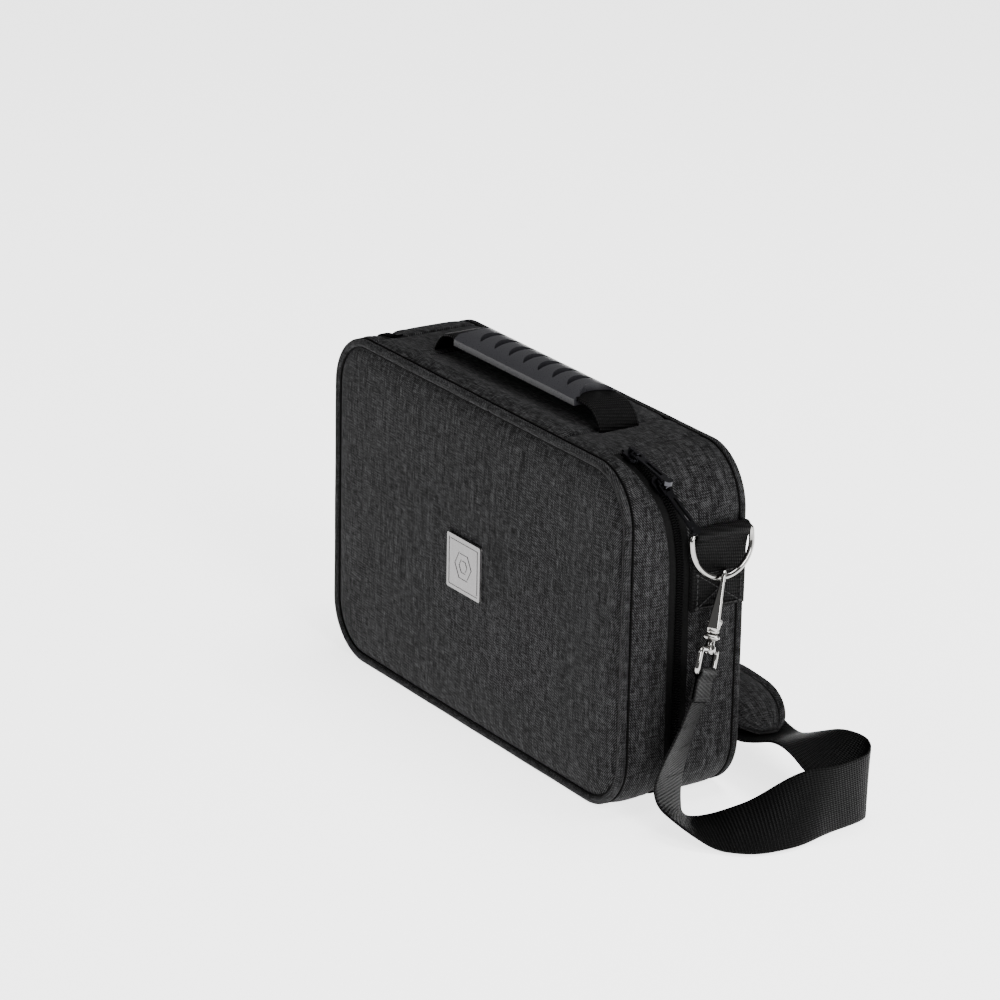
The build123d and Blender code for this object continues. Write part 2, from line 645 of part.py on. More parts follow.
def adjuster():
    """Two-slot slider on the standing strap behind the case, seen face on along Y."""
    x, y = ADJUSTER_AT
    height = EDGE_Z[0] + ADJUSTER_W / 2
    half = STRAP_W / 2 + 0.5
    slot = (ADJUSTER_L - 3 * ADJUSTER_BAR) / 2
    plate = RectangleRounded(ADJUSTER_L, ADJUSTER_W, 2.5)
    for side in (1, -1):
        plate -= Pos(side * (ADJUSTER_BAR + slot) / 2, 0) * RectangleRounded(slot, 2 * half, 1.2)
    return Plane(origin=(x, y, height), x_dir=(1, 0, 0), z_dir=(0, -1, 0)) * extrude(
        plate, ADJUSTER_T / 2, both=True)


def make_strap():
    fall, fall_length = twisted_strap(RIGHT_FALL)
    run, run_length, run_radii = standing_strap(RIGHT_RUN)
    rise, rise_length = twisted_strap(RIGHT_RISE)
    save("strap_right_fall", fall)
    save("strap_right_run", run)
    save("strap_right_rise", rise)
    left_fall, left_fall_length = twisted_strap(LEFT_FALL)
    save("strap_left_fall", left_fall.rotate(Axis((0, SIDE_Y, 0), (0, 0, 1)), 180))
    left, left_length, left_radii = standing_strap(LEFT_RUN)
    save("strap_left_run", left)
    pad, pad_length = shoulder_pad()
    save("shoulder_pad", pad)
    save("strap_adjuster", adjuster())
    print("strap right:", round(fall_length), round(run_length), round(rise_length),
          "left:", round(left_fall_length), round(left_length), "pad:", round(pad_length))
    print("radii right:", [round(r) for r in run_radii], "left:", [round(r) for r in left_radii])


make_shells()
make_zip()
make_sliders()
make_handle()
make_badge()
make_trays()
make_side_hardware()
make_strap()
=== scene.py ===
"""Looks of the padded miniature carry case: cloth skins, zip, handle, metal fittings, strap and pad.

Lengths are in millimetres in the modelling functions, and become metres where a mesh is made.
Only the strap, its pad and the lights are written in metres, as the frame has them.
"""

import json
import math

import bmesh
import bpy
import numpy as np
from mathutils import Matrix, Vector


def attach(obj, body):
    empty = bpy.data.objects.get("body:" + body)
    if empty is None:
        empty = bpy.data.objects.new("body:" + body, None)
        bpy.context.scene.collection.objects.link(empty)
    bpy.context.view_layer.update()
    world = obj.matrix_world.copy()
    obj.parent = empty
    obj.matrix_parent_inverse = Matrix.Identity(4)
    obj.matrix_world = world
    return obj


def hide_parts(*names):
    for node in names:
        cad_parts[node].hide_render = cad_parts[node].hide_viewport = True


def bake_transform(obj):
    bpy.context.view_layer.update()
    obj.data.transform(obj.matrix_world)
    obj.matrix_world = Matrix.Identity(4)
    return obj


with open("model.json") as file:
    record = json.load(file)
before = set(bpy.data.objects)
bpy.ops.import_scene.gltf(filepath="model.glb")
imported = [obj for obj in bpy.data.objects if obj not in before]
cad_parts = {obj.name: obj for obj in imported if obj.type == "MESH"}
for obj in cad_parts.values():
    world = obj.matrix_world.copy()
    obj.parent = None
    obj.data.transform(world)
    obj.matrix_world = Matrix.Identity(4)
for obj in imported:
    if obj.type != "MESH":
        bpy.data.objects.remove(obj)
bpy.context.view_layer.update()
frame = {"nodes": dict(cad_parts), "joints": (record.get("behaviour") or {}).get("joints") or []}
NODES = frame["nodes"]
JOINTS = {j["name"]: j for j in frame["joints"]}
MM = 0.001

# ---- Sizes shared with the CAD model ----
CASE_W, CASE_H, CASE_D = 300.0, 196.0, 78.0
CORNER_R = 32.5
PIPE_R = 2.4
SEAM_Y = CASE_D / 2 - 2 * PIPE_R
SPLIT_Y, SPLIT_BEND_Z = -3.5, 131.0
ZIP_TOP_Y, FOLD_Y = -19.5, -25.0
ZIP_HALF = 6.0
CAP_SEAM_X, CENTRE_SEAM_X = 114.0, 78.0
SIDE_Y = 19.5
HALF_W = CASE_W / 2
STRAIGHT_X = HALF_W - CORNER_R  # from the middle of the top to its corner
STRAIGHT_Z = CASE_H - 2 * CORNER_R
ARC = CORNER_R * math.pi / 2

# ==== Camera ====

AZIMUTH, ELEVATION, ROLL = 57.04, 19.66, 1.09
DISTANCE, SHIFT_RIGHT, SHIFT_UP = 2602.1, 17.1, -30.0
LENS = 167.8


def make_camera():
    az, el, roll = (math.radians(a) for a in (AZIMUTH, ELEVATION, ROLL))
    back = Vector((math.sin(az) * math.cos(el), -math.cos(az) * math.cos(el), math.sin(el)))
    right = Vector((math.cos(az), math.sin(az), 0))
    up = back.cross(right)
    tilted_right = right * math.cos(roll) + up * math.sin(roll)
    tilted_up = up * math.cos(roll) - right * math.sin(roll)
    middle = Vector((0, 0, CASE_H / 2))
    place = middle - tilted_right * SHIFT_RIGHT - tilted_up * SHIFT_UP + back * DISTANCE
    data = bpy.data.cameras.new("camera")
    data.lens = LENS
    data.clip_end = 50
    camera = bpy.data.objects.new("camera", data)
    bpy.context.scene.collection.objects.link(camera)
    turn = Matrix((tilted_right, tilted_up, back)).transposed()
    camera.matrix_world = Matrix.Translation(place * MM) @ turn.to_4x4()
    bpy.context.scene.camera = camera


make_camera()

# ==== Mesh helpers ====


def unit(a):
    a = np.asarray(a, float)
    return a / np.maximum(np.linalg.norm(a, axis=-1, keepdims=True), 1e-12)


def smooth_step(t):
    t = np.clip(t, 0, 1)
    return t * t * (3 - 2 * t)


def waves(a, b, seed, scale):
    """A gentle, repeatable unevenness between about -1 and 1 over two coordinates in mm."""
    total = 0
    for k in range(5):
        angle = seed * 1.7 + k * 2.4
        turn = 2 * math.pi / (scale * (0.6 + 0.25 * k))
        along = a * math.cos(angle) + b * math.sin(angle)
        total = total + np.sin(along * turn + seed * 3.1 + k * 1.3) / (1 + 0.4 * k)
    return total / 2.6


def turned(points):
    """Points of the right side's fittings, turned half round to the left side."""
    p = np.array(points, float)
    return np.stack([-p[..., 0], 2 * SIDE_Y - p[..., 1], p[..., 2]], axis=-1)


def add_mesh(name, verts, faces, material, uv=None):
    """A mesh object from points in mm; uv holds one pair in mm for each point."""
    mesh = bpy.data.meshes.new(name)
    mesh.from_pydata((np.asarray(verts, float) * MM).tolist(), [], [list(map(int, f)) for f in faces])
    if uv is not None:
        layer = mesh.uv_layers.new(name="weave")
        index = np.zeros(len(mesh.loops), int)
        mesh.loops.foreach_get("vertex_index", index)
        layer.data.foreach_set("uv", (np.asarray(uv, float)[index] * MM * 10).ravel())
    mesh.validate()
    solid = bmesh.new()
    solid.from_mesh(mesh)
    bmesh.ops.recalc_face_normals(solid, faces=solid.faces)
    solid.to_mesh(mesh)
    solid.free()
    mesh.shade_smooth()
    mesh.materials.append(material)
    obj = bpy.data.objects.new(name, mesh)
    bpy.context.scene.collection.objects.link(obj)
    return obj


def quads(rows, cols, wrap_rows=False, wrap_cols=False, start=0, flip=False):
    """Faces of a grid of points stored row by row."""
    faces = []
    for i in range(rows if wrap_rows else rows - 1):
        for j in range(cols if wrap_cols else cols - 1):
            a, b = i * cols + j, i * cols + (j + 1) % cols
            c, d = ((i + 1) % rows) * cols + (j + 1) % cols, ((i + 1) % rows) * cols + j
            faces.append([start + k for k in ((a, d, c, b) if flip else (a, b, c, d))])
    return faces


def tube(rows, cols, ring=False, flip=False):
    """Faces of a tube of rows of points. Its ends are closed, unless it is a ring."""
    faces = quads(rows, cols, ring, True, flip=flip)
    first, last = list(range(cols)), [(rows - 1) * cols + k for k in range(cols)]
    caps = [first, last[::-1]] if flip else [first[::-1], last]
    return faces if ring else faces + caps


def distances(line):
    """How far each point of a line is along it."""
    return np.concatenate([[0], np.cumsum(np.linalg.norm(np.diff(line, axis=0), axis=1))])


def grid_normals(points, wrap_rows):
    padded = np.concatenate([points[-1:], points, points[:1]]) if wrap_rows else points
    along = np.gradient(padded, axis=0)
    along = along[1:-1] if wrap_rows else along
    return unit(np.cross(along, np.gradient(points, axis=1)))


def cloth(name, points, uv, material, thick, flip=False, wrap=False):
    """A closed sheet of cloth: a grid of outer points, a copy pushed in by thick, and its rims."""
    rows, cols = points.shape[:2]
    count = rows * cols
    inward = grid_normals(points, wrap) * (thick if flip else -thick)
    verts = np.concatenate([points.reshape(-1, 3), (points + inward).reshape(-1, 3)])
    faces = quads(rows, cols, wrap, flip=flip) + quads(rows, cols, wrap, start=count, flip=not flip)
    for j in (0, cols - 1):
        turn = (j == 0) != flip
        for i in range(rows if wrap else rows - 1):
            a, b = i * cols + j, ((i + 1) % rows) * cols + j
            faces.append([a, b, b + count, a + count] if turn else [b, a, a + count, b + count])
    for i in () if wrap else (0, rows - 1):
        turn = (i == 0) == flip
        for j in range(cols - 1):
            a, b = i * cols + j, i * cols + j + 1
            faces.append([a, b, b + count, a + count] if turn else [b, a, a + count, b + count])
    flat_uv = uv.reshape(-1, 2)
    return add_mesh(name, verts, faces, material, np.concatenate([flat_uv, flat_uv]))


def path_frames(path, closed, first=None):
    """Tangents and two cross directions along a path, carried along it without twist."""
    path = np.asarray(path, float)
    if closed:
        tangents = unit(np.roll(path, -1, axis=0) - np.roll(path, 1, axis=0))
    else:
        tangents = unit(np.gradient(path, axis=0))
    side = np.array(first if first is not None else (0.0, 0.0, 1.0))
    if first is None and abs(tangents[0][2]) > 0.9:
        side = np.array((0.0, 1.0, 0.0))
    sides = []
    for t in tangents:
        side = unit(side - t * side.dot(t))
        sides.append(side)
    sides = np.array(sides)
    return tangents, sides, np.cross(tangents, sides)


def sweep(path, section, closed=False, first=None):
    """Points and faces of a section carried along a path. section is one list of pairs, or one per point."""
    path = np.asarray(path, float)
    section = np.asarray(section, float)
    if section.ndim == 2:
        section = np.repeat(section[None], len(path), axis=0)
    _, side, other = path_frames(path, closed, first)
    verts = path[:, None] + section[..., :1] * side[:, None] + section[..., 1:] * other[:, None]
    rows, cols = verts.shape[:2]
    return verts.reshape(-1, 3), tube(rows, cols, closed)


def circle(radius, count=16):
    angles = np.linspace(0, 2 * math.pi, count, endpoint=False)
    return np.stack([radius * np.cos(angles), radius * np.sin(angles)], axis=1)


def rounded_box(half_a, half_b, corner, per_corner=4):
    """Section of a rectangle with round corners, as pairs."""
    points = []
    for k, (sa, sb) in enumerate(((1, 1), (-1, 1), (-1, -1), (1, -1))):
        for a in np.linspace(k * math.pi / 2, (k + 1) * math.pi / 2, per_corner):
            points.append((sa * (half_a - corner) + corner * math.cos(a),
                           sb * (half_b - corner) + corner * math.sin(a)))
    return np.array(points)


def joined(parts):
    """Several (points, faces) pairs as one."""
    verts, faces, start = [], [], 0
    for v, f in parts:
        verts.append(np.asarray(v, float))
        faces += [[start + k for k in face] for face in f]
        start += len(v)
    return np.concatenate(verts), faces


def lathe(profile, origin, axis, across, count=32):
    """Points and faces of (radius, height) pairs turned about an axis; ends on the axis are closed."""
    axis, across = unit(axis), unit(across)
    other = np.cross(axis, across)
    angles = np.linspace(0, 2 * math.pi, count, endpoint=False)
    ring = np.cos(angles)[:, None] * across + np.sin(angles)[:, None] * other
    verts = np.concatenate([np.asarray(origin) + r * ring + h * axis for r, h in profile])
    return verts, tube(len(profile), count)


def block(origin, axes, low, high, bevel=0.3):
    """A box with chamfered edges between two corners in the frame of three axes."""
    low, high = np.array(low, float), np.array(high, float)
    section = rounded_box((high[0] - low[0]) / 2, (high[1] - low[1]) / 2, bevel, 3)
    middle = (low + high) / 2
    rings = []
    for z, shrink in ((low[2], bevel), (low[2] + bevel, 0), (high[2] - bevel, 0), (high[2], bevel)):
        scale = 1 - shrink / np.maximum((high - low)[:2] / 2, 1e-6)
        ring = section * scale + middle[:2]
        rings.append(np.column_stack([ring, np.full(len(ring), z)]))
    local = np.concatenate(rings)
    verts = np.asarray(origin) + local @ np.array(axes, float)
    return verts, tube(len(rings), len(section))


def settle(obj, body, replaces=()):
    """Makes a mesh piece ride on a body and the CAD nodes it stands for."""
    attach(obj, body)
    if replaces:
        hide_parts(*replaces)
    return obj


# ==== Materials ====
# The weave's coordinates are the meshes' own: one unit is 100 mm of cloth.


class Shader:
    """A material's node tree, with one method for each step that the finishes share."""

    def __init__(self, name, **values):
        self.material = bpy.data.materials.new(name)
        self.material.use_nodes = True
        self.tree = self.material.node_tree
        self.surface = self.tree.nodes["Principled BSDF"]
        for key, value in values.items():
            self.surface.inputs[key.replace("_", " ")].default_value = value

    def add(self, kind, settings=None, **inputs):
        made = self.tree.nodes.new("ShaderNode" + kind)
        for key, value in (settings or {}).items():
            setattr(made, key, value)
        for key, value in inputs.items():
            index = int(key[1:]) if key[0] == "i" and key[1:].isdigit() else key.replace("_", " ")
            if isinstance(value, bpy.types.NodeSocket):
                self.tree.links.new(value, made.inputs[index])
            else:
                made.inputs[index].default_value = value
        return made

    def coordinates(self, scale, kind="UV", turn=0.0):
        source = self.add("TexCoord").outputs[kind]
        return self.add("Mapping", None, Vector=source, Rotation=(0, 0, turn), Scale=scale).outputs[0]

    def noise(self, scale, detail=3.0, kind="UV", roughness=0.55):
        at = self.coordinates(scale, kind)
        return self.add("TexNoise", None, Vector=at, Scale=1.0, Detail=detail, Roughness=roughness).outputs[0]

    def bands(self, period, kind="UV", turn=0.0, distortion=0.0):
        """Parallel ridges, period mm apart."""
        scale = (31.4 if kind == "UV" else 314.0) / period
        at = self.coordinates((scale, scale, 0), kind, turn)
        setting = {"wave_type": "BANDS", "bands_direction": "X", "wave_profile": "SIN"}
        return self.add("TexWave", setting, Vector=at, Scale=1.0, Distortion=distortion, Detail=1.0,
                        Detail_Scale=2.0).outputs["Fac"]

    def math(self, operation, a, b=0.0):
        return self.add("Math", {"operation": operation}, i0=a, i1=b).outputs[0]

    def mix(self, share, a, b):
        return self.math("ADD", self.math("MULTIPLY", a, 1 - share), self.math("MULTIPLY", b, share))

    def ramp(self, value, *stops):
        made = self.add("ValToRGB", None, Fac=value)
        elements = made.color_ramp.elements
        while len(elements) < len(stops):
            elements.new(0.5)
        for element, (place, grey) in zip(elements, stops):
            element.position = place
            color = grey if isinstance(grey, tuple) else (grey, grey, grey)
            element.color = (*color, 1)
        return made.outputs[0]

    def color(self, output):
        self.tree.links.new(output, self.surface.inputs["Base Color"])

    def roughness(self, output):
        self.tree.links.new(output, self.surface.inputs["Roughness"])

    def bump(self, height, distance, strength=1.0):
        made = self.add("Bump", None, Height=height, Distance=distance * MM, Strength=strength)
        self.tree.links.new(made.outputs[0], self.surface.inputs["Normal"])


def heather(name, dark, middle, light):
    """Charcoal cloth of mixed yarns: a fine diagonal twill with lighter flecks along both threads."""
    tint = (1.0, 1.0, 1.03)
    s = Shader(name, Roughness=0.9, Sheen_Weight=0.012, Sheen_Roughness=0.4, Specular_IOR_Level=0.06)
    warp = s.noise((150, 16, 1), 4)
    weft = s.noise((14, 130, 1), 4)
    flecks = s.mix(0.45, warp, weft)
    twill = s.bands(0.98, turn=math.radians(38), distortion=0.6)
    threads = s.math("MULTIPLY", s.bands(0.8), s.bands(0.8, turn=math.pi / 2))
    slubs = s.noise((34, 2.2, 1), 3)
    tone = s.mix(0.15, s.mix(0.17, flecks, twill), slubs)
    shades = [(0.40, dark), (0.50, middle), (0.61, light)]
    colors = [(p, tuple(g * t for t in tint)) for p, g in shades]
    s.color(s.ramp(tone, *colors))
    s.bump(s.mix(0.5, s.mix(0.5, twill, threads), flecks), 0.35, 0.55)
    return s.material


def webbing_material(name, base, light):
    """Ribbed polypropylene webbing: short ribs across the strap, crossed by finer threads along it."""
    s = Shader(name, Roughness=0.55, Sheen_Weight=0.0, Specular_IOR_Level=0.06)
    ribs = s.bands(1.9, turn=math.radians(9), distortion=0.3)
    threads = s.bands(1.2, turn=math.pi / 2, distortion=0.2)
    weave = s.mix(0.45, ribs, threads)
    fibres = s.noise((60, 240, 1), 3)
    s.color(s.ramp(s.mix(0.35, weave, fibres), (0.25, base * 0.5), (0.55, base), (0.85, light)))
    s.roughness(s.ramp(weave, (0.0, 0.62), (1.0, 0.40)))
    s.bump(s.mix(0.15, weave, fibres), 0.55, 0.9)
    return s.material


def plain_cloth(name, base, light, pitch=0.8, kind="UV"):
    """Small plain-woven cloth, such as lining and binding."""
    s = Shader(name, Roughness=0.85, Sheen_Weight=0.0, Specular_IOR_Level=0.06)
    weave = s.math("MULTIPLY", s.bands(pitch, kind), s.bands(pitch, kind, math.pi / 2))
    s.color(s.ramp(s.mix(0.4, weave, s.noise((90, 90, 90), 2, kind)), (0.1, base), (0.8, light)))
    s.bump(weave, 0.25, 0.6)
    return s.material


def mesh_cloth(name):
    """Open air mesh: rows of small holes."""
    s = Shader(name, Roughness=0.8, Sheen_Weight=0.0, Specular_IOR_Level=0.1)
    holes = s.math("MULTIPLY", s.bands(2.4, turn=math.radians(45)), s.bands(2.4, turn=math.radians(-45)))
    s.color(s.ramp(holes, (0.12, 0.045), (0.5, 0.02), (0.8, 0.006)))
    s.bump(s.math("SUBTRACT", 1.0, holes), 0.7, 0.9)
    return s.material


def metal(name, base, roughness):
    """Plated metal with faint, uneven polish."""
    scratches, kind = 0.03, "Object"
    s = Shader(name, Metallic=1.0)
    s.color(s.ramp(s.noise((60, 60, 60), 2, kind), (0.2, tuple(c * 0.93 for c in base)), (0.8, base)))
    wear = s.noise((900, 900, 140), 4, kind)
    s.roughness(s.ramp(wear, (0.3, max(roughness - scratches, 0.02)), (0.75, roughness + scratches)))
    s.bump(wear, 0.02, 0.25)
    return s.material


def brushed(name):
    """Vertically brushed plate; the strokes are long in Z."""
    s = Shader(name, Metallic=1.0, Anisotropic=0.4)
    strokes = s.noise((5200, 400, 90), 5, "Object", 0.7)
    s.color(s.ramp(strokes, (0.25, (0.11, 0.107, 0.107)), (0.75, (0.23, 0.225, 0.225))))
    s.roughness(s.ramp(strokes, (0.2, 0.3), (0.8, 0.48)))
    s.bump(strokes, 0.04, 0.6)
    return s.material


def moulded(name, base, roughness, grain=0.05, cells=1800):
    """Moulded rubber or plastic with a fine spark-eroded grain."""
    s = Shader(name, Roughness=roughness, Specular_IOR_Level=0.5)
    fine = s.noise((cells, cells, cells), 2, "Object")
    s.color(s.ramp(s.noise((70, 70, 70), 2, "Object"), (0.2, tuple(c * 0.8 for c in base)), (0.8, base)))
    s.roughness(s.ramp(fine, (0.2, roughness - 0.06), (0.8, roughness + 0.08)))
    s.bump(fine, grain, 0.5)
    return s.material


def foam(name, base):
    """Closed-cell foam with cut cells."""
    s = Shader(name, Roughness=0.95, Sheen_Weight=0.05)
    at = s.coordinates((900, 900, 900), "Object")
    cells = s.add("TexVoronoi", {"feature": "F1"}, Vector=at, Scale=1.0).outputs["Distance"]
    s.color(s.ramp(cells, (0.0, tuple(c * 0.6 for c in base)), (0.8, base)))
    s.bump(cells, 0.3, 0.5)
    return s.material


HEATHER = heather("heather_cloth", 0.0010, 0.0058, 0.046)
PIPING = heather("piping_cloth", 0.0018, 0.0080, 0.040)
WEBBING = webbing_material("strap_webbing", 0.0008, 0.0046)
LINING = plain_cloth("lining", 0.010, 0.022, 0.9, "Object")
TAPE = plain_cloth("zip_tape", 0.002, 0.0055, 0.9)
BINDING = plain_cloth("binding", 0.0015, 0.004, 1.0)
# Near-black cloth that paints the shade in the seam grooves beside the piping and in the piping's joint.
PAINTED_SEAM_SHADE = plain_cloth("seam_shadow", 0.0006, 0.0015, 1.0)
AIR_MESH = mesh_cloth("air_mesh")
NICKEL = metal("nickel", (0.30, 0.295, 0.285), 0.09)
BLACK_NICKEL = metal("black_nickel", (0.045, 0.045, 0.05), 0.2)
BADGE = brushed("brushed_badge")
RUBBER = moulded("grip_rubber", (0.020, 0.020, 0.023), 0.3)
TEETH = plain_cloth("zip_teeth", 0.0006, 0.0022, 0.9)
PLASTIC = moulded("buckle_plastic", (0.012, 0.012, 0.013), 0.38)
TRAY_FOAM = foam("tray_foam", (0.030, 0.030, 0.033))
SOFT_FOAM = foam("lid_foam", (0.045, 0.045, 0.050))
THREAD = moulded("thread", (0.002, 0.002, 0.0022), 0.7, 0.02, 3000)


# CAD nodes that stay in view.
for cad_name, finish in {
    "lid_lining": LINING, "body_lining": LINING, "lid_foam": SOFT_FOAM,
    "tray_front_base": TRAY_FOAM, "tray_front_grid": TRAY_FOAM,
    "tray_rear_base": TRAY_FOAM, "tray_rear_grid": TRAY_FOAM,
    "zip_stops": BLACK_NICKEL, "slider_lower": BLACK_NICKEL, "slider_upper": BLACK_NICKEL,
    "pull_tab_lower": BLACK_NICKEL, "pull_tab_upper": BLACK_NICKEL, "badge_plate": BADGE,
    "handle_grip": RUBBER, "strap_adjuster": PLASTIC,
}.items():
    NODES[cad_name].data.materials.clear()
    NODES[cad_name].data.materials.append(finish)


# ==== The case's outline and opening line ====


def outline(s):
    """Points (x, z) and outward directions along the case's outline, clockwise from the top's middle."""
    s = np.asarray(s, float)
    legs = [STRAIGHT_X, ARC, STRAIGHT_Z, ARC, 2 * STRAIGHT_X, ARC, STRAIGHT_Z, ARC, STRAIGHT_X]
    headings = [0, 0, -90, -90, -180, -180, -270, -270, -360]
    points, normals = np.zeros((*s.shape, 2)), np.zeros((*s.shape, 2))
    at, start = np.array((0.0, CASE_H)), 0.0
    for k, (leg, heading) in enumerate(zip(legs, headings)):
        h = math.radians(heading)
        along, out = np.array((math.cos(h), math.sin(h))), np.array((-math.sin(h), math.cos(h)))
        here = (s >= start - 1e-9) & ((s < start + leg) | (k == len(legs) - 1))
        t = s[here] - start
        if k % 2:
            a = t / CORNER_R
            centre = at - out * CORNER_R
            direction = out * np.cos(a)[:, None] + along * np.sin(a)[:, None]
            points[here], normals[here] = centre + direction * CORNER_R, direction
            at = centre + along * CORNER_R
        else:
            points[here], normals[here] = at + along * t[:, None], out
            at = at + along * leg
        start += leg
    return points, normals


PERIMETER = 4 * ARC + 2 * STRAIGHT_Z + 4 * STRAIGHT_X
SIDE_START = CAP_SEAM_X
SIDE_END = PERIMETER - CAP_SEAM_X


def split_y_at(z):
    """Y of the opening line at a height: upright, then an arc that leans forward to the fold."""
    rise, run = CASE_H - 1 - SPLIT_BEND_Z, SPLIT_Y - ZIP_TOP_Y
    radius = (rise**2 + run**2) / (2 * run)
    climb = np.clip(np.asarray(z, float) - SPLIT_BEND_Z, 0, rise)
    return SPLIT_Y - radius + np.sqrt(radius**2 - climb**2)


def around(s, y, lift):
    """Points at distances s round the outline, depths y, and heights above the wall, all the same shape."""
    points, normals = outline(s)
    out = points + normals * np.asarray(lift)[..., None]
    return np.stack([out[..., 0], np.broadcast_to(y, out.shape[:-1]), out[..., 1]], axis=-1)


def side_steps(step=3.5):
    """Distances round the sides and the bottom, about step apart."""
    return np.linspace(SIDE_START, SIDE_END, round((SIDE_END - SIDE_START) / step))


# ==== Cloth walls ====


def seam_profile(t, width, puff, dip=1.3, reach=3.5):
    """Height of a padded strip between two seams: it dips at both and is full between."""
    edge = np.minimum(t, 1 - t) * width
    return puff * (1 - (2 * t - 1) ** 4) + dip * (1 - np.exp(-edge / reach)) - dip


def make_gusset(name, nodes, body, near_zip):
    """A side wall, from its piping seam to its edge beside the zip."""
    s = side_steps()
    t = np.concatenate([np.linspace(0, 0.16, 7), np.linspace(0.2, 0.8, 9), np.linspace(0.84, 1, 7)])
    grid_s, grid_t = np.meshgrid(s, t, indexing="ij")
    z = outline(grid_s)[0][..., 1]
    sign = -1 if near_zip < 0 else 1
    seam = sign * (SEAM_Y + 0.5)
    zip_edge = split_y_at(z) + near_zip
    y = seam + (zip_edge - seam) * grid_t
    width = np.abs(zip_edge - seam)
    lift = seam_profile(grid_t, width, 0.7) + 0.25 * waves(grid_s, y, 3 + sign, 60) * np.sin(math.pi * grid_t)
    lift += 0.7 * smooth_step((grid_t - 0.8) / 0.14) * (1 - smooth_step((grid_t - 0.94) / 0.06))
    points = around(grid_s, y, lift)
    uv = np.stack([y, grid_s], axis=-1)
    return settle(cloth(name, points, uv, HEATHER, 2.4, flip=near_zip > 0), body, nodes)


make_gusset("lid_side_cloth", ["lid_gusset"], "lid", -ZIP_HALF)
make_gusset("body_side_cloth", ["body_gusset"], "root", ZIP_HALF)


def panel_grid(seam_inset, columns=66, rows=44):
    """Even points over a face inside its seam, and their distances from the seam."""
    half_w, half_h = HALF_W - seam_inset, CASE_H / 2 - seam_inset
    radius = CORNER_R - seam_inset
    b = np.sin(np.linspace(-1, 1, rows) * math.pi / 2 * 0.92) / math.sin(math.pi / 2 * 0.92)
    a = np.sin(np.linspace(-1, 1, columns) * math.pi / 2 * 0.92) / math.sin(math.pi / 2 * 0.92)
    z = b * half_h
    into_corner = np.clip(np.abs(z) - (half_h - radius), 0, radius)
    reach = half_w - radius + np.sqrt(radius**2 - into_corner**2)
    x = a[None, :] * reach[:, None]
    z = np.broadcast_to(z[:, None], x.shape)
    qx, qz = np.abs(x) - (half_w - radius), np.abs(z) - (half_h - radius)
    outside = np.hypot(np.clip(qx, 0, None), np.clip(qz, 0, None))
    inside = radius - outside - np.minimum(np.maximum(qx, qz), 0)
    return x, z + CASE_H / 2, np.clip(inside, 0, None)


def make_panel(name, node, body, sign, crown):
    """A face panel: it dips into the seam beside the piping, and is full and slightly crowned inside it."""
    x, z, inside = panel_grid(2 * PIPE_R - 0.6)
    u, v = x / HALF_W, (z - CASE_H / 2) / (CASE_H / 2)
    seam_y, puff, reach = 35.9, 2.8, 4.5
    height = seam_y + puff * (1 - np.exp(-inside / reach)) + crown * (1 - u**2) ** 0.8 * (1 - v**2) ** 0.8
    height += 0.3 * waves(x, z, 1.0 + sign, 150) * smooth_step(inside / 25)
    points = np.stack([x, sign * height, z], axis=-1)
    uv = np.stack([x, z], axis=-1)
    return settle(cloth(name, points, uv, HEATHER, 3.0, flip=sign < 0), body, [node])


make_panel("front_cloth", "front_panel", "lid", -1, 4.2)
make_panel("back_cloth", "back_panel", "root", 1, 1.6)


def make_piping(name, node, body, sign):
    """Cord covered with cloth round a face. Its two ends meet near the middle of the top."""
    joint_at, count = 13.0, 14
    s = np.linspace(joint_at, joint_at + PERIMETER, 420, endpoint=False) % PERIMETER
    inset = np.full(len(s), -PIPE_R)
    gap = np.minimum(np.abs(s - joint_at), PERIMETER - np.abs(s - joint_at))
    path = around(s, np.full(len(s), sign * (CASE_D / 2 - PIPE_R)), inset)
    swell = PIPE_R * (1 + 0.02 * np.sin(s / 9)) * (1 - 0.16 * np.exp(-((gap / 1.4) ** 2)))
    section = circle(1.0, count)[None] * swell[:, None, None]
    verts, faces = sweep(path, section, closed=True, first=(0, 1, 0))
    along = np.repeat(np.arange(len(s)) * PERIMETER / len(s), count)
    about = np.tile(np.arange(count) * 2 * math.pi * PIPE_R / count, len(s))
    obj = add_mesh(name, verts, faces, PIPING, np.stack([about, along], axis=-1))
    # A dark ring of painted shade in the narrow gap where the piping's two ends meet.
    butt = np.array([joint_at - 0.45, joint_at, joint_at + 0.45])
    ring = around(butt, np.full(3, sign * (CASE_D / 2 - PIPE_R)), np.full(3, -PIPE_R))
    verts, faces = sweep(ring, circle(0.89 * PIPE_R, count), first=(0, 1, 0))
    joint = add_mesh(name.replace("cloth", "joint"), verts, faces, PAINTED_SEAM_SHADE, np.zeros((len(verts), 2)))
    settle(joint, body)
    return settle(obj, body, [node])


def make_seam_shade_line(name, body, y, lift):
    """A dark tube of painted shade along the groove where the piping's seam pulls the cloth in."""
    radius = 0.55
    s = np.linspace(0, PERIMETER, 360, endpoint=False)
    path = around(s, np.full(len(s), y), np.full(len(s), lift))
    verts, faces = sweep(path, circle(radius, 8), closed=True, first=(0, 1, 0))
    uv = np.stack([np.tile(np.arange(8) * 0.4, len(s)), np.repeat(s, 8)], axis=-1)
    return settle(add_mesh(name, verts, faces, PAINTED_SEAM_SHADE, uv), body)


FACES = (("front", "lid", -1), ("back", "root", 1))
for face, rides_on, face_sign in FACES:
    inner_y, outer_y = CASE_D / 2 - 1.7, SEAM_Y - 0.1
    make_seam_shade_line(f"{face}_seam_shade_inner", rides_on, face_sign * inner_y, -2 * PIPE_R - 0.1)
    make_seam_shade_line(f"{face}_seam_shade_outer", rides_on, face_sign * outer_y, -0.45)
for face, rides_on, face_sign in FACES:
    make_piping(f"{face}_piping_cloth", f"{face}_piping", rides_on, face_sign)
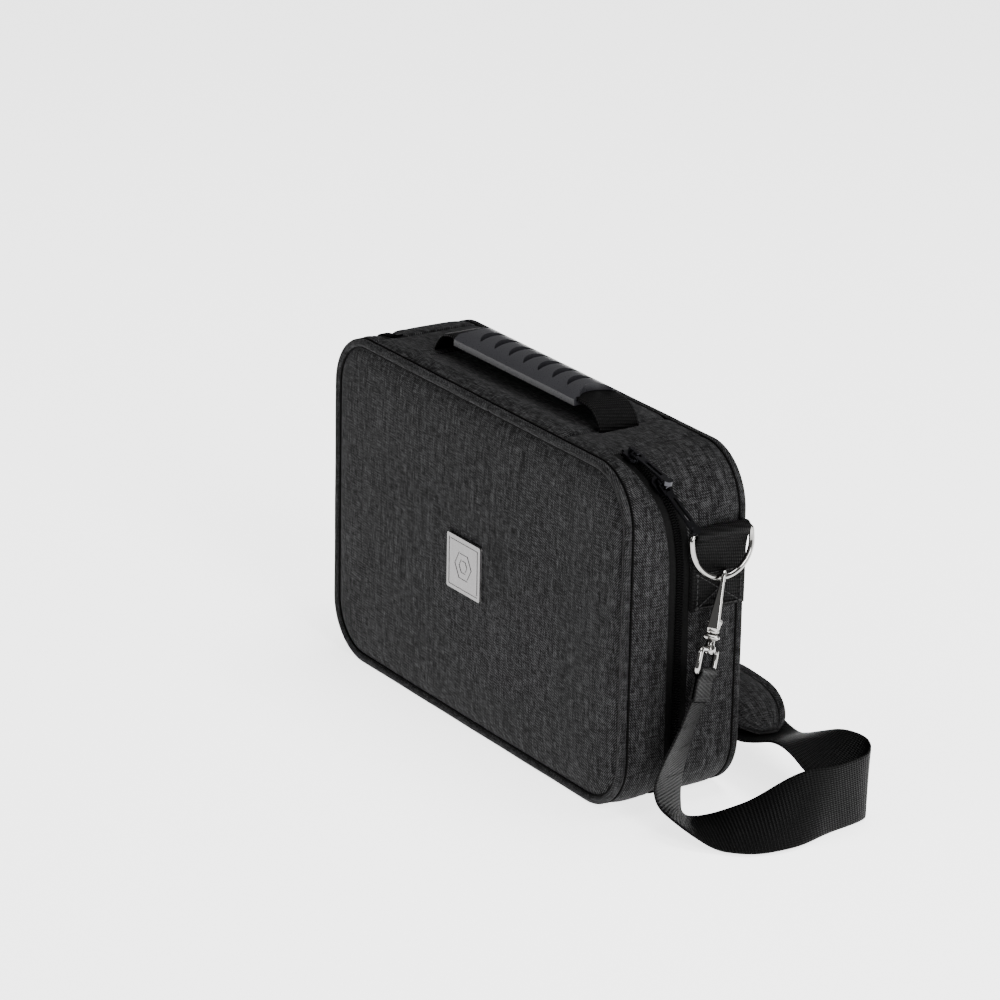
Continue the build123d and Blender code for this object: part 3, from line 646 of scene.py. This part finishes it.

# ---- Top: each strip crosses the fold between the lid and the body ----


def make_top(name, nodes, x_low, x_high, roll):
    """A strip of the top between two seams, with the padded roll in front of the handle."""
    x = np.linspace(x_low, x_high, max(10, round((x_high - x_low) / 3.5)))
    y = np.linspace(-SEAM_Y - 0.5, SEAM_Y + 0.5, 46)
    grid_x, grid_y = np.meshgrid(x, y, indexing="ij")
    edge_y = (grid_y + SEAM_Y + 0.5) / (2 * SEAM_Y + 1)
    lift = seam_profile(edge_y, 2 * SEAM_Y, 0.2)
    t = (grid_x - x_low) / (x_high - x_low)
    ends = np.minimum(t, 1 - t) * (x_high - x_low)
    lift += 1.2 * (1 - np.exp(-ends / 2.5)) - 0.9
    for height, at_y, wide, fade, start in ((roll, -26.5, 5.6, 9, 0.35), (0.6, 25, 9, 12, 0.3)):
        lift += height * np.exp(-(((grid_y - at_y) / wide) ** 2)) * smooth_step(ends / fade + start)
    lift += 0.3 * waves(grid_x, grid_y, 5 + x_low, 45)
    points = np.stack([grid_x, grid_y, CASE_H + lift], axis=-1)
    obj = cloth(name, points, np.stack([grid_y, grid_x], axis=-1), HEATHER, 2.0)
    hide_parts(*nodes)
    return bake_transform(obj)


make_top("top_centre_cloth", ["lid_top_panel", "top_panel"], -CENTRE_SEAM_X, CENTRE_SEAM_X, 2.6)
make_top("top_cap_right_cloth", ["lid_cap_right", "top_cap_right"], CENTRE_SEAM_X, CAP_SEAM_X + 0.6, 1.2)
make_top("top_cap_left_cloth", ["lid_cap_left", "top_cap_left"], -CAP_SEAM_X - 0.6, -CENTRE_SEAM_X, 1.2)

# ==== Zip ====


def make_tape(name, node, body, sign):
    """Zip tape beside the teeth, tucked under the cloth's edge."""
    s = side_steps(4)
    t = np.linspace(0, 1, 6)
    grid_s, grid_t = np.meshgrid(s, t, indexing="ij")
    z = outline(grid_s)[0][..., 1]
    y = split_y_at(z) + sign * (1.6 + (ZIP_HALF + 0.9) * grid_t)
    points = around(grid_s, y, -0.9 + 0.25 * np.sin(math.pi * grid_t))
    uv = np.stack([y, grid_s], axis=-1)
    obj = cloth(name, points, uv, TAPE, 0.7, flip=sign < 0)
    return settle(obj, body, [node])


make_tape("zip_tape_lid_cloth", "zip_tape_lid", "lid", -1)
make_tape("zip_tape_body_cloth", "zip_tape_body", "root", 1)


def make_teeth(name, node, body, sign, pitch=1.5):
    """Moulded teeth along one side of the zip, on a round cord; each side's teeth lie between the other's."""
    s = np.arange(SIDE_START + 4 + (pitch / 2 if sign > 0 else 0), SIDE_END - 4, pitch)
    points, normals = outline(s)
    y = split_y_at(points[:, 1])
    ahead = outline(s + 0.5)[0] - outline(s - 0.5)[0]
    slope = split_y_at(outline(s + 0.5)[0][:, 1]) - split_y_at(outline(s - 0.5)[0][:, 1])
    parts = []
    for k in range(len(s)):
        along = unit((ahead[k, 0], slope[k], ahead[k, 1]))
        out = np.array((normals[k, 0], 0, normals[k, 1]))
        across = np.cross(along, out) * sign
        if across[1] * sign < 0:
            across = -across
        origin = np.array((points[k, 0], y[k], points[k, 1])) + out * 0.2
        parts.append(block(origin, (along, across, out), (-0.48, -0.1, -1.2), (0.48, 2.1, 0.25), 0.2))
    return settle(add_mesh(name, *joined(parts), TEETH), body, [node])


make_teeth("zip_teeth_lid_side", "zip_teeth_lid", "lid", -1)
make_teeth("zip_teeth_body_side", "zip_teeth_body", "root", 1)

# ==== Side fittings: right ones are made in place, left ones are the same turned half round ==


def joint_frame(side):
    """Origin and axes of the snap hook: X' to its spine, Z' up its length."""
    swivel, gate = JOINTS[f"swivel_{side}_turn"], JOINTS[f"gate_{side}_press"]
    up = -unit(swivel["axis"])
    across = unit(gate["axis"])
    return np.array(swivel["pos_m"]) / MM, unit(np.cross(across, up)), across, up


ORIGIN, HOOK_X, HOOK_Y, HOOK_Z = joint_frame("right")
HOOK_AXES = (HOOK_X, HOOK_Y, HOOK_Z)
EYE_AZIMUTH = math.radians(-50.0)
EYE_X = np.array((math.cos(EYE_AZIMUTH), math.sin(EYE_AZIMUTH), 0))
EYE_X = unit(EYE_X - HOOK_Z * EYE_X.dot(HOOK_Z))
EYE_Y = np.cross(HOOK_Z, EYE_X)
BAR = np.array(JOINTS["d_ring_right_swing"]["pos_m"]) / MM
RING_TILT = math.radians(8.0)
RING_HALF, RING_DROP, RING_CORNER, RING_WIRE_R = 19.3, 6.0, 3.0, 1.6


def hook_points(local, eye=False):
    """Points in the hook's or the eye's own frame, as points in the row frame."""
    x, y = (EYE_X, EYE_Y) if eye else (HOOK_X, HOOK_Y)
    local = np.asarray(local, float)
    return ORIGIN + local[..., :1] * x + local[..., 1:2] * y + local[..., 2:] * HOOK_Z


def both_sides(name, made, material, body, replaces=()):
    """The same piece on the right, and turned half round on the left; made may end with its uv."""
    verts, *rest = made
    faces, uv = rest if len(rest) == 2 else (rest[0], None)
    for side, place in (("right", lambda p: p), ("left", turned)):
        obj = add_mesh(f"{name}_{side}", place(verts), faces, material, uv)
        settle(obj, body.format(side), [n.format(side) for n in replaces])


def arc(centre, radius, first, last, count):
    a = np.radians(np.linspace(first, last, count))
    return np.stack([centre[0] + radius * np.cos(a), centre[1] + radius * np.sin(a)], axis=1)


def d_ring():
    """The ring's closed wire: a straight bar, two tight corners and a round bow."""
    straight = RING_HALF - RING_CORNER
    flat = np.concatenate([
        np.column_stack([np.linspace(-straight, straight, 14), np.zeros(14)]),
        arc((straight, -RING_CORNER), RING_CORNER, 80, 0, 7),
        [(RING_HALF, -RING_DROP + 1)],
        arc((0, -RING_DROP), RING_HALF, -6, -174, 44),
        [(-RING_HALF, -RING_DROP + 1)],
        arc((-straight, -RING_CORNER), RING_CORNER, 180, 100, 7),
    ])
    out = flat[:, 1] * -math.sin(RING_TILT)
    path = BAR + np.column_stack([out, flat[:, 0], flat[:, 1] * math.cos(RING_TILT)])
    return sweep(path, circle(RING_WIRE_R, 16), closed=True, first=(1, 0, 0))


both_sides("d_ring_wire", d_ring(), NICKEL, "ring_{}", ["d_ring_{}"])


def snap_hook():
    """A cast bow and spine that widen downwards, the gate's ears, a web and an oblong collar."""
    bow = arc((0, 0), 5.1, 180, 0, 20)
    spine = np.column_stack([np.linspace(5.1, 5.9, 14), np.linspace(-1.2, -28.4, 14)])
    line = np.concatenate([[(-5.1, -1.7), (-5.12, -0.8)], bow, spine])
    path = hook_points(np.column_stack([line[:, 0], np.zeros(len(line)), line[:, 1]]))
    down = np.clip(-line[:, 1] / 27, 0, 1)
    thick = 1.15 + 2.2 * down**1.1
    wide = 1.1 + 0.35 * down
    section = np.stack([rounded_box(t, w, min(t, w) * 0.75, 5) for t, w in zip(thick, wide)])
    body = sweep(path, section, first=tuple(HOOK_Y))
    web = block(ORIGIN, HOOK_AXES, (-7.3, -3.4, -30.2), (7.3, 3.4, -26.8), 1.2)
    collar = block(ORIGIN, HOOK_AXES, (-7.4, -4.4, -33.2), (7.4, 4.4, -30.2), 1.1)
    shank = lathe([(2.3, -26.9), (3.2, -26.7), (3.4, -26.2), (3.1, -25.6), (1.8, -25.2), (0.3, -25.1)],
                  ORIGIN, HOOK_Z, HOOK_X, 28)
    ears = []
    for sign in (1, -1):
        middle = hook_points((-5.0, sign * 2.6, -23.9))
        ears.append(lathe([(0.4, -0.75), (2.2, -0.75), (2.5, -0.5), (2.5, 0.5), (2.2, 0.75), (0.4, 0.75)],
                          middle, HOOK_Y, HOOK_X, 24))
        ears.append(block(ORIGIN, HOOK_AXES, (-7.2, sign * 2.6 - 0.75, -27.4),
                          (-2.8, sign * 2.6 + 0.75, -23.8), 0.3))
    return joined([body, web, collar, shank, *ears])


def gate():
    """The spring gate: a lever from its pin up to the hook's nose, with a raised thumb bar."""
    z = np.linspace(-24.4, -2.1, 16)
    x = np.interp(z, (-24.4, -22, -2.1), (-5.0, -5.0, -5.15))
    path = hook_points(np.column_stack([x, np.zeros(len(z)), z]))
    down = (z - z[0]) / (z[-1] - z[0])
    section = np.stack([rounded_box(1.65 - 0.55 * d, 1.5 - 0.55 * d, 0.6, 4) for d in down])
    lever = sweep(path, section, first=tuple(HOOK_Y))
    thumb = lathe([(0.3, -1.9), (1.0, -1.8), (1.25, -1.4), (1.25, 1.4), (1.0, 1.8), (0.3, 1.9)],
                  hook_points((-6.2, 0, -12.5)), HOOK_Y, HOOK_Z, 20)
    return joined([lever, thumb])


def gate_pin():
    profile = [(0.3, -3.9), (1.3, -3.75), (1.6, -3.4), (1.6, -3.3), (0.9, -3.3), (0.9, 3.3), (1.6, 3.3),
               (1.6, 3.4), (1.3, 3.75), (0.3, 3.9)]
    return lathe(profile, hook_points((-5.0, 0, -23.6)), HOOK_Y, HOOK_Z, 20)


def swivel_eye():
    """The wire loop that holds the strap, its boss, and the swivel pin through the hook's collar."""
    half, low, top, corner = 20.9, -51.0, -38.5, 2.6
    corners = [(half - corner, top - corner, 90), (-half + corner, top - corner, 180),
               (-half + corner, low + corner, 270), (half - corner, low + corner, 360)]
    flat = np.concatenate([arc((x, z), corner, first - 90, first, 7) for x, z, first in corners])
    dense = []
    for a, b in zip(flat, np.roll(flat, -1, axis=0)):
        count = max(1, round(float(np.hypot(*(b - a))) / 3))
        dense += [a + (b - a) * k / count for k in range(count)]
    dense = np.array(dense)
    path = hook_points(np.column_stack([dense[:, 0], np.zeros(len(dense)), dense[:, 1]]), True)
    loop = sweep(path, circle(1.5, 14), closed=True, first=tuple(EYE_Y))
    stem = lathe([(0.4, -41.2), (2.2, -41.0), (3.2, -40.2), (3.5, -38.6), (3.3, -37.0), (2.5, -36.2),
                  (2.2, -35.6), (2.2, -26.9)], ORIGIN, HOOK_Z, HOOK_X, 28)
    return joined([loop, stem])


both_sides("snap_hook_body", snap_hook(), NICKEL, "hook_{}", ["snap_hook_{}"])
both_sides("hook_gate", gate(), NICKEL, "gate_lever_{}", ["gate_{}"])
both_sides("hook_gate_pin", gate_pin(), NICKEL, "hook_{}", ["gate_pin_{}"])
both_sides("swivel_eye_loop", swivel_eye(), NICKEL, "eye_{}", ["swivel_eye_{}"])


def band_over(line, across, half_width, thick, start=0.0):
    """Webbing along a line, with its width's direction, or one for each point. start offsets its uv."""
    line = np.asarray(line, float)
    across = np.broadcast_to(unit(across), line.shape)
    tangent = unit(np.gradient(line, axis=0))
    out = unit(np.cross(tangent, across))
    face = [(-1, 0), (-0.985, 0.7), (-0.93, 1.0), (-0.5, 1.0),
            (0, 1.0), (0.5, 1.0), (0.93, 1.0), (0.985, 0.7)]
    section = np.array(face + [(-a, -b) for a, b in face]) * (half_width, thick / 2)
    verts = line[:, None] + across[:, None] * section[:, :1] + out[:, None] * section[:, 1:]
    rows, cols = verts.shape[:2]
    uv = np.stack([np.repeat(distances(line) + start, cols), np.tile(section[:, 0], rows)], axis=-1)
    return verts.reshape(-1, 3), tube(rows, cols, flip=True), uv


PATCH_HALF, PATCH_X, PATCH_LOW = 17.2, HALF_W + 0.8, 113.0
ROLL_R = 2.9


def web_patch():
    """The webbing that holds the D-ring: down the wall inside, round the bar, and down again outside."""
    inner = np.column_stack([np.full(12, PATCH_X), np.linspace(PATCH_LOW, BAR[2] - 3, 12)])
    roll = arc((BAR[0], BAR[2]), ROLL_R, 195, -60, 22)
    drops = [(3.0, 6.5), (1.9, 12), (1.7, 20), (1.7, 30)]
    outer = [(PATCH_X + out, BAR[2] - down) for out, down in drops] + [(PATCH_X + 1.6, PATCH_LOW + 0.5)]
    flat = np.concatenate([inner, roll, outer])
    line = np.column_stack([flat[:, 0], np.full(len(flat), SIDE_Y), flat[:, 1]])
    return band_over(line, (0, 1, 0), PATCH_HALF, 1.6)


both_sides("d_ring_webbing", web_patch(), WEBBING, "root", ["web_patch_{}"])


def stitches(points, outward):
    """Short thread stitches centred on points, lying along the line through them."""
    length, radius = 2.4, 0.32
    points = np.asarray(points, float)
    tangent = unit(np.gradient(points, axis=0))
    outward = np.broadcast_to(np.asarray(outward, float), points.shape)
    parts = []
    for p, t, n in zip(points, tangent, outward):
        at = np.array((-0.5, -0.3, 0, 0.3, 0.5)) * length
        rise = np.array((-0.6, 0.55, 0.8, 0.55, -0.6)) * radius
        parts.append(sweep(p + at[:, None] * t + rise[:, None] * n, circle(radius, 6), first=tuple(n)))
    return joined(parts)


def spaced(a, b, pitch):
    """Points from a to b about pitch apart."""
    a, b = np.array(a, float), np.array(b, float)
    count = max(2, round(float(np.linalg.norm(b - a)) / pitch) + 1)
    return a + (b - a) * np.linspace(0, 1, count)[:, None]


def patch_stitches():
    """A sewn box with a cross on the webbing patch."""
    x = PATCH_X + 2.45
    low, high, near, far = PATCH_LOW + 2, PATCH_LOW + 21, SIDE_Y - 14, SIDE_Y + 14
    lines = [((low, near), (low, far)), ((high, near), (high, far)), ((low, near), (high, near)),
             ((low, far), (high, far)), ((low, near), (high, far)), ((low, far), (high, near)),
             ((BAR[2] - 10, near), (BAR[2] - 10, far))]
    parts = [stitches(spaced((x, ya, za), (x, yb, zb), 3.1), (1, 0, 0)) for (za, ya), (zb, yb) in lines]
    return joined(parts)


both_sides("d_ring_webbing_stitches", patch_stitches(), THREAD, "root")

# ==== Handle ====


def make_handle_webbing():
    """The ribbon that runs through the grip and bends down into the top at both ends."""
    rise = [(84.0, 195.6), (82.6, 199.2), (79.6, 203.4), (75.2, 206.8), (69.6, 208.4), (62.0, 208.6)]
    flat = [(-x, z) for x, z in rise] + [(x, 208.6) for x in np.linspace(-56, 56, 17)] + rise[::-1]
    line = np.array([(x, 0.0, z) for x, z in flat])
    verts, faces, uv = band_over(line, (0, 1, 0), 12.6, 1.9)
    obj = add_mesh("handle_ribbon", verts, faces, WEBBING, uv)
    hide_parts("handle_webbing")
    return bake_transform(obj)


make_handle_webbing()

# ==== Strap ====
# Each point of the route has the direction of the webbing's width beside it.

STRAP_W, STRAP_T = 0.038, 0.0015
RIGHT_ROUTE = [
    ((0.1693, -0.0027, 0.0689), (0.62, -0.695, 0.36)), ((0.168, -0.008, 0.056), (0.65, -0.72, 0.25)),
    ((0.1655, -0.013, 0.0405), (0.56, -0.81, 0.15)), ((0.1645, -0.017, 0.028), (0.52, -0.82, 0.20)),
    ((0.1645, -0.018, 0.0185), (0.50, -0.80, 0.30)), ((0.1675, -0.018, 0.0110), (0.55, -0.76, 0.33)),
    ((0.175, -0.0185, 0.0085), (0.70, -0.66, 0.30)), ((0.184, -0.0155, 0.0052), (0.85, -0.50, 0.14)),
    ((0.194, -0.0090, 0.0040), (0.88, -0.45, -0.10)), ((0.204, -0.001, 0.0072), (0.85, -0.45, -0.28)),
    ((0.2105, 0.009, 0.0100), (0.78, -0.44, -0.46)), ((0.217, 0.023, 0.0162), (0.60, -0.30, -0.74)),
    ((0.2212, 0.038, 0.0207), (0.20, -0.05, -0.98)),
]
STANDING_RIGHT = [(0.2205, 0.050), (0.2190, 0.062), (0.2170, 0.072), (0.2135, 0.0795)]
UNDER_PAD = [
    ((0.2065, 0.080, 0.0225), (0.10, -0.35, -0.93)), ((0.198, 0.0745, 0.0275), (0.22, -0.68, -0.70)),
    ((0.186, 0.070, 0.0315), (0.34, -0.86, -0.38)), ((0.173, 0.0675, 0.0330), (0.42, -0.91, 0.02)),
    ((0.160, 0.066, 0.0310), (0.38, -0.90, 0.22)), ((0.148, 0.0655, 0.0265), (0.18, -0.97, 0.12)),
    ((0.136, 0.0658, 0.0245), (0, -1, 0)), ((0.126, 0.0665, 0.0263), (0, -1, 0)),
    ((0.112, 0.068, 0.0284), (0, -1, 0)), ((0.082, 0.071, 0.0289), (0, -1, 0)),
    ((0.046, 0.0755, 0.0230), (0, -1, 0)), ((0.014, 0.080, 0.0126), (0, -1, 0)),
    ((-0.016, 0.084, 0.0046), (0, -1, 0)), ((-0.044, 0.086, 0.0014), (0, -1, 0)),
    ((-0.056, 0.086, 0.0085), (0, -0.93, -0.36)), ((-0.066, 0.085, 0.0158), (0, -0.62, -0.78)),
]
STANDING_LEFT = [(-0.078, 0.084), (-0.108, 0.082), (-0.138, 0.085), (-0.150, 0.095), (-0.140, 0.105),
                 (-0.112, 0.107), (-0.082, 0.105), (-0.062, 0.108), (-0.055, 0.117), (-0.064, 0.126)]
IN_ADJUSTER = [((-0.092, 0.1285, 0.0220), (0, 0, -1)), ((-0.110, 0.1312, 0.0236), (0, 0, -1)),
               ((-0.126, 0.1312, 0.0236), (0, 0, -1)), ((-0.142, 0.1300, 0.0236), (0, 0, -1))]
STANDING_END = [(-0.162, 0.123), (-0.186, 0.112), (-0.198, 0.093), (-0.195, 0.074)]
LEFT_ROUTE = [
    ((-0.182, 0.061, 0.0200), (0.05, 0.05, -1.0)), ((-0.170, 0.057, 0.024), (-0.10, 0.50, -0.86)),
    ((-0.163, 0.053, 0.031), (-0.40, 0.86, -0.31)), ((-0.166, 0.049, 0.048), (-0.62, 0.77, 0.16)),
    ((-0.1693, 0.0417, 0.0689), (-0.62, 0.695, 0.36)),
]
STANDING_Z = 0.0203


def standing(points):
    return [((x, y, STANDING_Z), (0.0, 0.0, -1.0)) for x, y in points]


ROUTE = (RIGHT_ROUTE + standing(STANDING_RIGHT) + UNDER_PAD + standing(STANDING_LEFT) + IN_ADJUSTER
         + standing(STANDING_END) + LEFT_ROUTE)


def read_spline(points):
    """Points of a smooth spline drawn with these as its control points."""
    data = bpy.data.curves.new("route", "CURVE")
    data.dimensions = "3D"
    data.resolution_u = 12
    spline = data.splines.new("NURBS")
    spline.points.add(len(points) - 1)
    for control, point in zip(spline.points, points):
        control.co = (*point, 1)
    spline.order_u = 3
    spline.use_endpoint_u = True
    obj = bpy.data.objects.new("route", data)
    bpy.context.scene.collection.objects.link(obj)
    bpy.context.view_layer.update()
    mesh = bpy.data.meshes.new_from_object(obj.evaluated_get(bpy.context.evaluated_depsgraph_get()))
    read = np.array([v.co[:] for v in mesh.vertices])
    bpy.data.objects.remove(obj)
    bpy.data.curves.remove(data)
    bpy.data.meshes.remove(mesh)
    return read / MM


def read_route(route):
    """The line along the strap's middle, and the direction of its width at each point."""
    middle = read_spline([p for p, _ in route])
    edge = read_spline([np.array(p) + unit(w) * STRAP_W / 2 for p, w in route])
    return middle, unit(edge - middle)


STRAP_LINE, STRAP_ACROSS = read_route(ROUTE)
STRAP_AT = distances(STRAP_LINE)
FALL_CUTS = (0.0, 14.0, 28.0, 44.0)  # where each end is cut into three pieces


def strap_piece(name, low, high):
    """The stretch of strap between two distances along it."""
    first, last = np.searchsorted(STRAP_AT, (low, high - 1e-6))
    picked = slice(max(first - (1 if low > 0 else 0), 0), last + 1)
    line = STRAP_LINE[picked]
    start = STRAP_AT[picked][0]
    verts, faces, uv = band_over(line, STRAP_ACROSS[picked], STRAP_W / MM / 2, STRAP_T / MM, start)
    obj = add_mesh(name, verts, faces, WEBBING, uv)
    return obj, line


def make_strap():
    total = STRAP_AT[-1]
    for side, flipped in (("right", False), ("left", True)):
        for k, word in enumerate(("top", "middle", "low")):
            near, far = FALL_CUTS[k], FALL_CUTS[k + 1]
            low, high = (total - far, total - near) if flipped else (near, far)
            obj, line = strap_piece(f"strap_fall_{word}_{side}", low, high)
            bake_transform(obj)
    main, line = strap_piece("shoulder_strap", FALL_CUTS[-1], total - FALL_CUTS[-1])
    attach(main, "root")
    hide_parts("strap_right_fall", "strap_right_run", "strap_right_rise",
                "strap_left_fall", "strap_left_run")


make_strap()


def strap_loop():
    """The sewn end of the strap: up, round the eye's lower bar and down again."""
    rise = np.column_stack([np.full(8, 1.0), np.linspace(-66.5, -54.5, 8)])
    bar = arc((0, -51.0), 2.45, -25, 205, 20)
    fall = np.column_stack([np.full(8, -1.0), np.linspace(-54.5, -66.5, 8)])
    flat = np.concatenate([rise, bar, fall])
    line = hook_points(np.column_stack([np.zeros(len(flat)), flat[:, 0], flat[:, 1]]), True)
    return band_over(line, EYE_X, 18.9, 1.5)


both_sides("strap_loop", strap_loop(), WEBBING, "eye_{}", ["strap_end_{}"])


def loop_stitches():
    parts = []
    for z in (-56.5, -64.5):
        for y in (1.85, -1.85):
            ends = hook_points([(-15.5, y, z), (15.5, y, z)], True)
            parts.append(stitches(spaced(*ends, 3.0), EYE_Y * np.sign(y)))
    return joined(parts)


both_sides("strap_loop_stitches", loop_stitches(), THREAD, "eye_{}")

# ==== Shoulder pad ====

PAD_ROUTE = [(0.142, 0.065, 0.0285), (0.128, 0.0665, 0.034), (0.112, 0.068, 0.0365), (0.082, 0.071, 0.037),
             (0.046, 0.0755, 0.031), (0.014, 0.080, 0.0205), (-0.016, 0.084, 0.0125), (-0.044, 0.086, 0.0090)]
PAD_HALF, PAD_SEAM = 22.8, 16.6
PAD_OVALS = 44.0, 30.0  # how far from each tip the pad reaches its full width


def pad_loft(name, section, material):
    """A section of (across, up) pairs carried along the pad, rounded off and thinner at both ends."""
    line = read_spline(PAD_ROUTE)
    at = distances(line)
    even = at[-1] * (0.5 - 0.5 * np.cos(np.linspace(0, math.pi, 84)))
    line = np.stack([np.interp(even, at, line[:, k]) for k in range(3)], axis=1)
    to_tip = np.minimum(even / PAD_OVALS[0], (at[-1] - even) / PAD_OVALS[1])
    narrow = np.sqrt(1 - (1 - np.clip(to_tip + 0.03, 0, 1)) ** 2)
    thin = 0.35 + 0.65 * smooth_step(to_tip / 0.45)
    along = unit(np.gradient(line, axis=0))
    across = np.tile((0.0, -1.0, 0.0), (len(line), 1))
    across = unit(across - along * np.sum(across * along, axis=1)[:, None])
    up = np.cross(across, along)
    up = up * np.sign(up[:, 2:])
    section = np.asarray(section, float)
    wobble = 0.2 * np.sin(even / 13.0)[:, None] + 0.15 * np.sin(even / 5.1 + 1)[:, None]
    high = section[:, 1] * thin[:, None]
    high = high + wobble * np.clip(section[:, 1], 0, 6) / 6
    wide = section[:, 0] * narrow[:, None]
    verts = line[:, None] + across[:, None] * wide[..., None] + up[:, None] * high[..., None]
    rows, cols = verts.shape[:2]
    uv = np.stack([np.tile(distances(section), rows), np.repeat(even, cols)], axis=-1)
    return add_mesh(name, verts.reshape(-1, 3), tube(rows, cols), material, uv)


def mirrored(half):
    return [*[(-u, w) for u, w in half], *half[::-1]]


# Half sections of (across, up) pairs, from the pad's edge to its middle.
TOP_HALF = [(22.7, -0.6), (22.4, 1.8), (20.9, 3.9), (18.7, 4.2), (17.1, 2.3), (16.2, 2.3), (14.6, 4.3),
            (11.2, 5.4), (6.5, 6.2), (2.3, 6.45)]
BASE_HALF = [(22.4, -0.5), (22.8, -2.6), (22.0, -4.9), (20.1, -6.2), (14.0, -6.45), (5.0, -6.5)]
pad_top = pad_loft("pad_cover", mirrored(TOP_HALF) + [(16.0, -1.0), (-16.0, -1.0)], HEATHER)
pad_base = pad_loft("pad_air_mesh", mirrored(BASE_HALF) + [(16.0, -0.4), (-16.0, -0.4)], AIR_MESH)
for pad_part in (pad_top, pad_base):
    settle(pad_part, "root", ["shoulder_pad"])
for pad_sign, pad_word in ((1, "near"), (-1, "far")):
    seam_ring = circle(0.55, 8) + (pad_sign * PAD_SEAM, 2.55)
    settle(pad_loft(f"pad_seam_{pad_word}", seam_ring, BINDING), "root")
    lip_ring = circle(0.9, 8) + (pad_sign * PAD_HALF, -0.8)
    settle(pad_loft(f"pad_lip_{pad_word}", lip_ring, PIPING), "root")

# ==== Floor and light ====

FLOOR_GLOW, WORLD_GLOW = 2.6, 0.22


def area_light(name, place, target, size, power):
    data = bpy.data.lights.new(name, "AREA")
    data.shape = "RECTANGLE"
    data.size, data.size_y = size
    data.energy = power
    light = bpy.data.objects.new(name, data)
    light.location = place
    light.rotation_euler = (Vector(target) - Vector(place)).to_track_quat("-Z", "Y").to_euler()
    bpy.context.scene.collection.objects.link(light)


def make_studio():
    floor_look = Shader("floor", Roughness=0.9, Specular_IOR_Level=0.1)
    floor_look.surface.inputs["Base Color"].default_value = (0.95, 0.95, 0.95, 1)
    floor_look.surface.inputs["Emission Color"].default_value = (1, 1, 1, 1)
    floor_look.surface.inputs["Emission Strength"].default_value = FLOOR_GLOW
    mesh = bpy.data.meshes.new("floor")
    mesh.from_pydata([(-8, -8, 0), (8, -8, 0), (8, 8, 0), (-8, 8, 0)], [], [(0, 1, 2, 3)])
    mesh.materials.append(floor_look.material)
    floor = bpy.data.objects.new("floor", mesh)
    bpy.context.scene.collection.objects.link(floor)
    world = bpy.data.worlds.new("studio")
    world.use_nodes = True
    world.node_tree.nodes["Background"].inputs["Color"].default_value = (1, 1, 1, 1)
    world.node_tree.nodes["Background"].inputs["Strength"].default_value = WORLD_GLOW
    bpy.context.scene.world = world
    middle = (0, 0, 0.1)
    area_light("key", (-0.35, -1.5, 1.5), middle, (0.9, 0.9), 7)
    area_light("side", (1.7, -0.2, 1.0), middle, (0.5, 1.2), 38)
    area_light("top", (0.1, 0.4, 1.9), middle, (1.2, 0.8), 36)


make_studio()
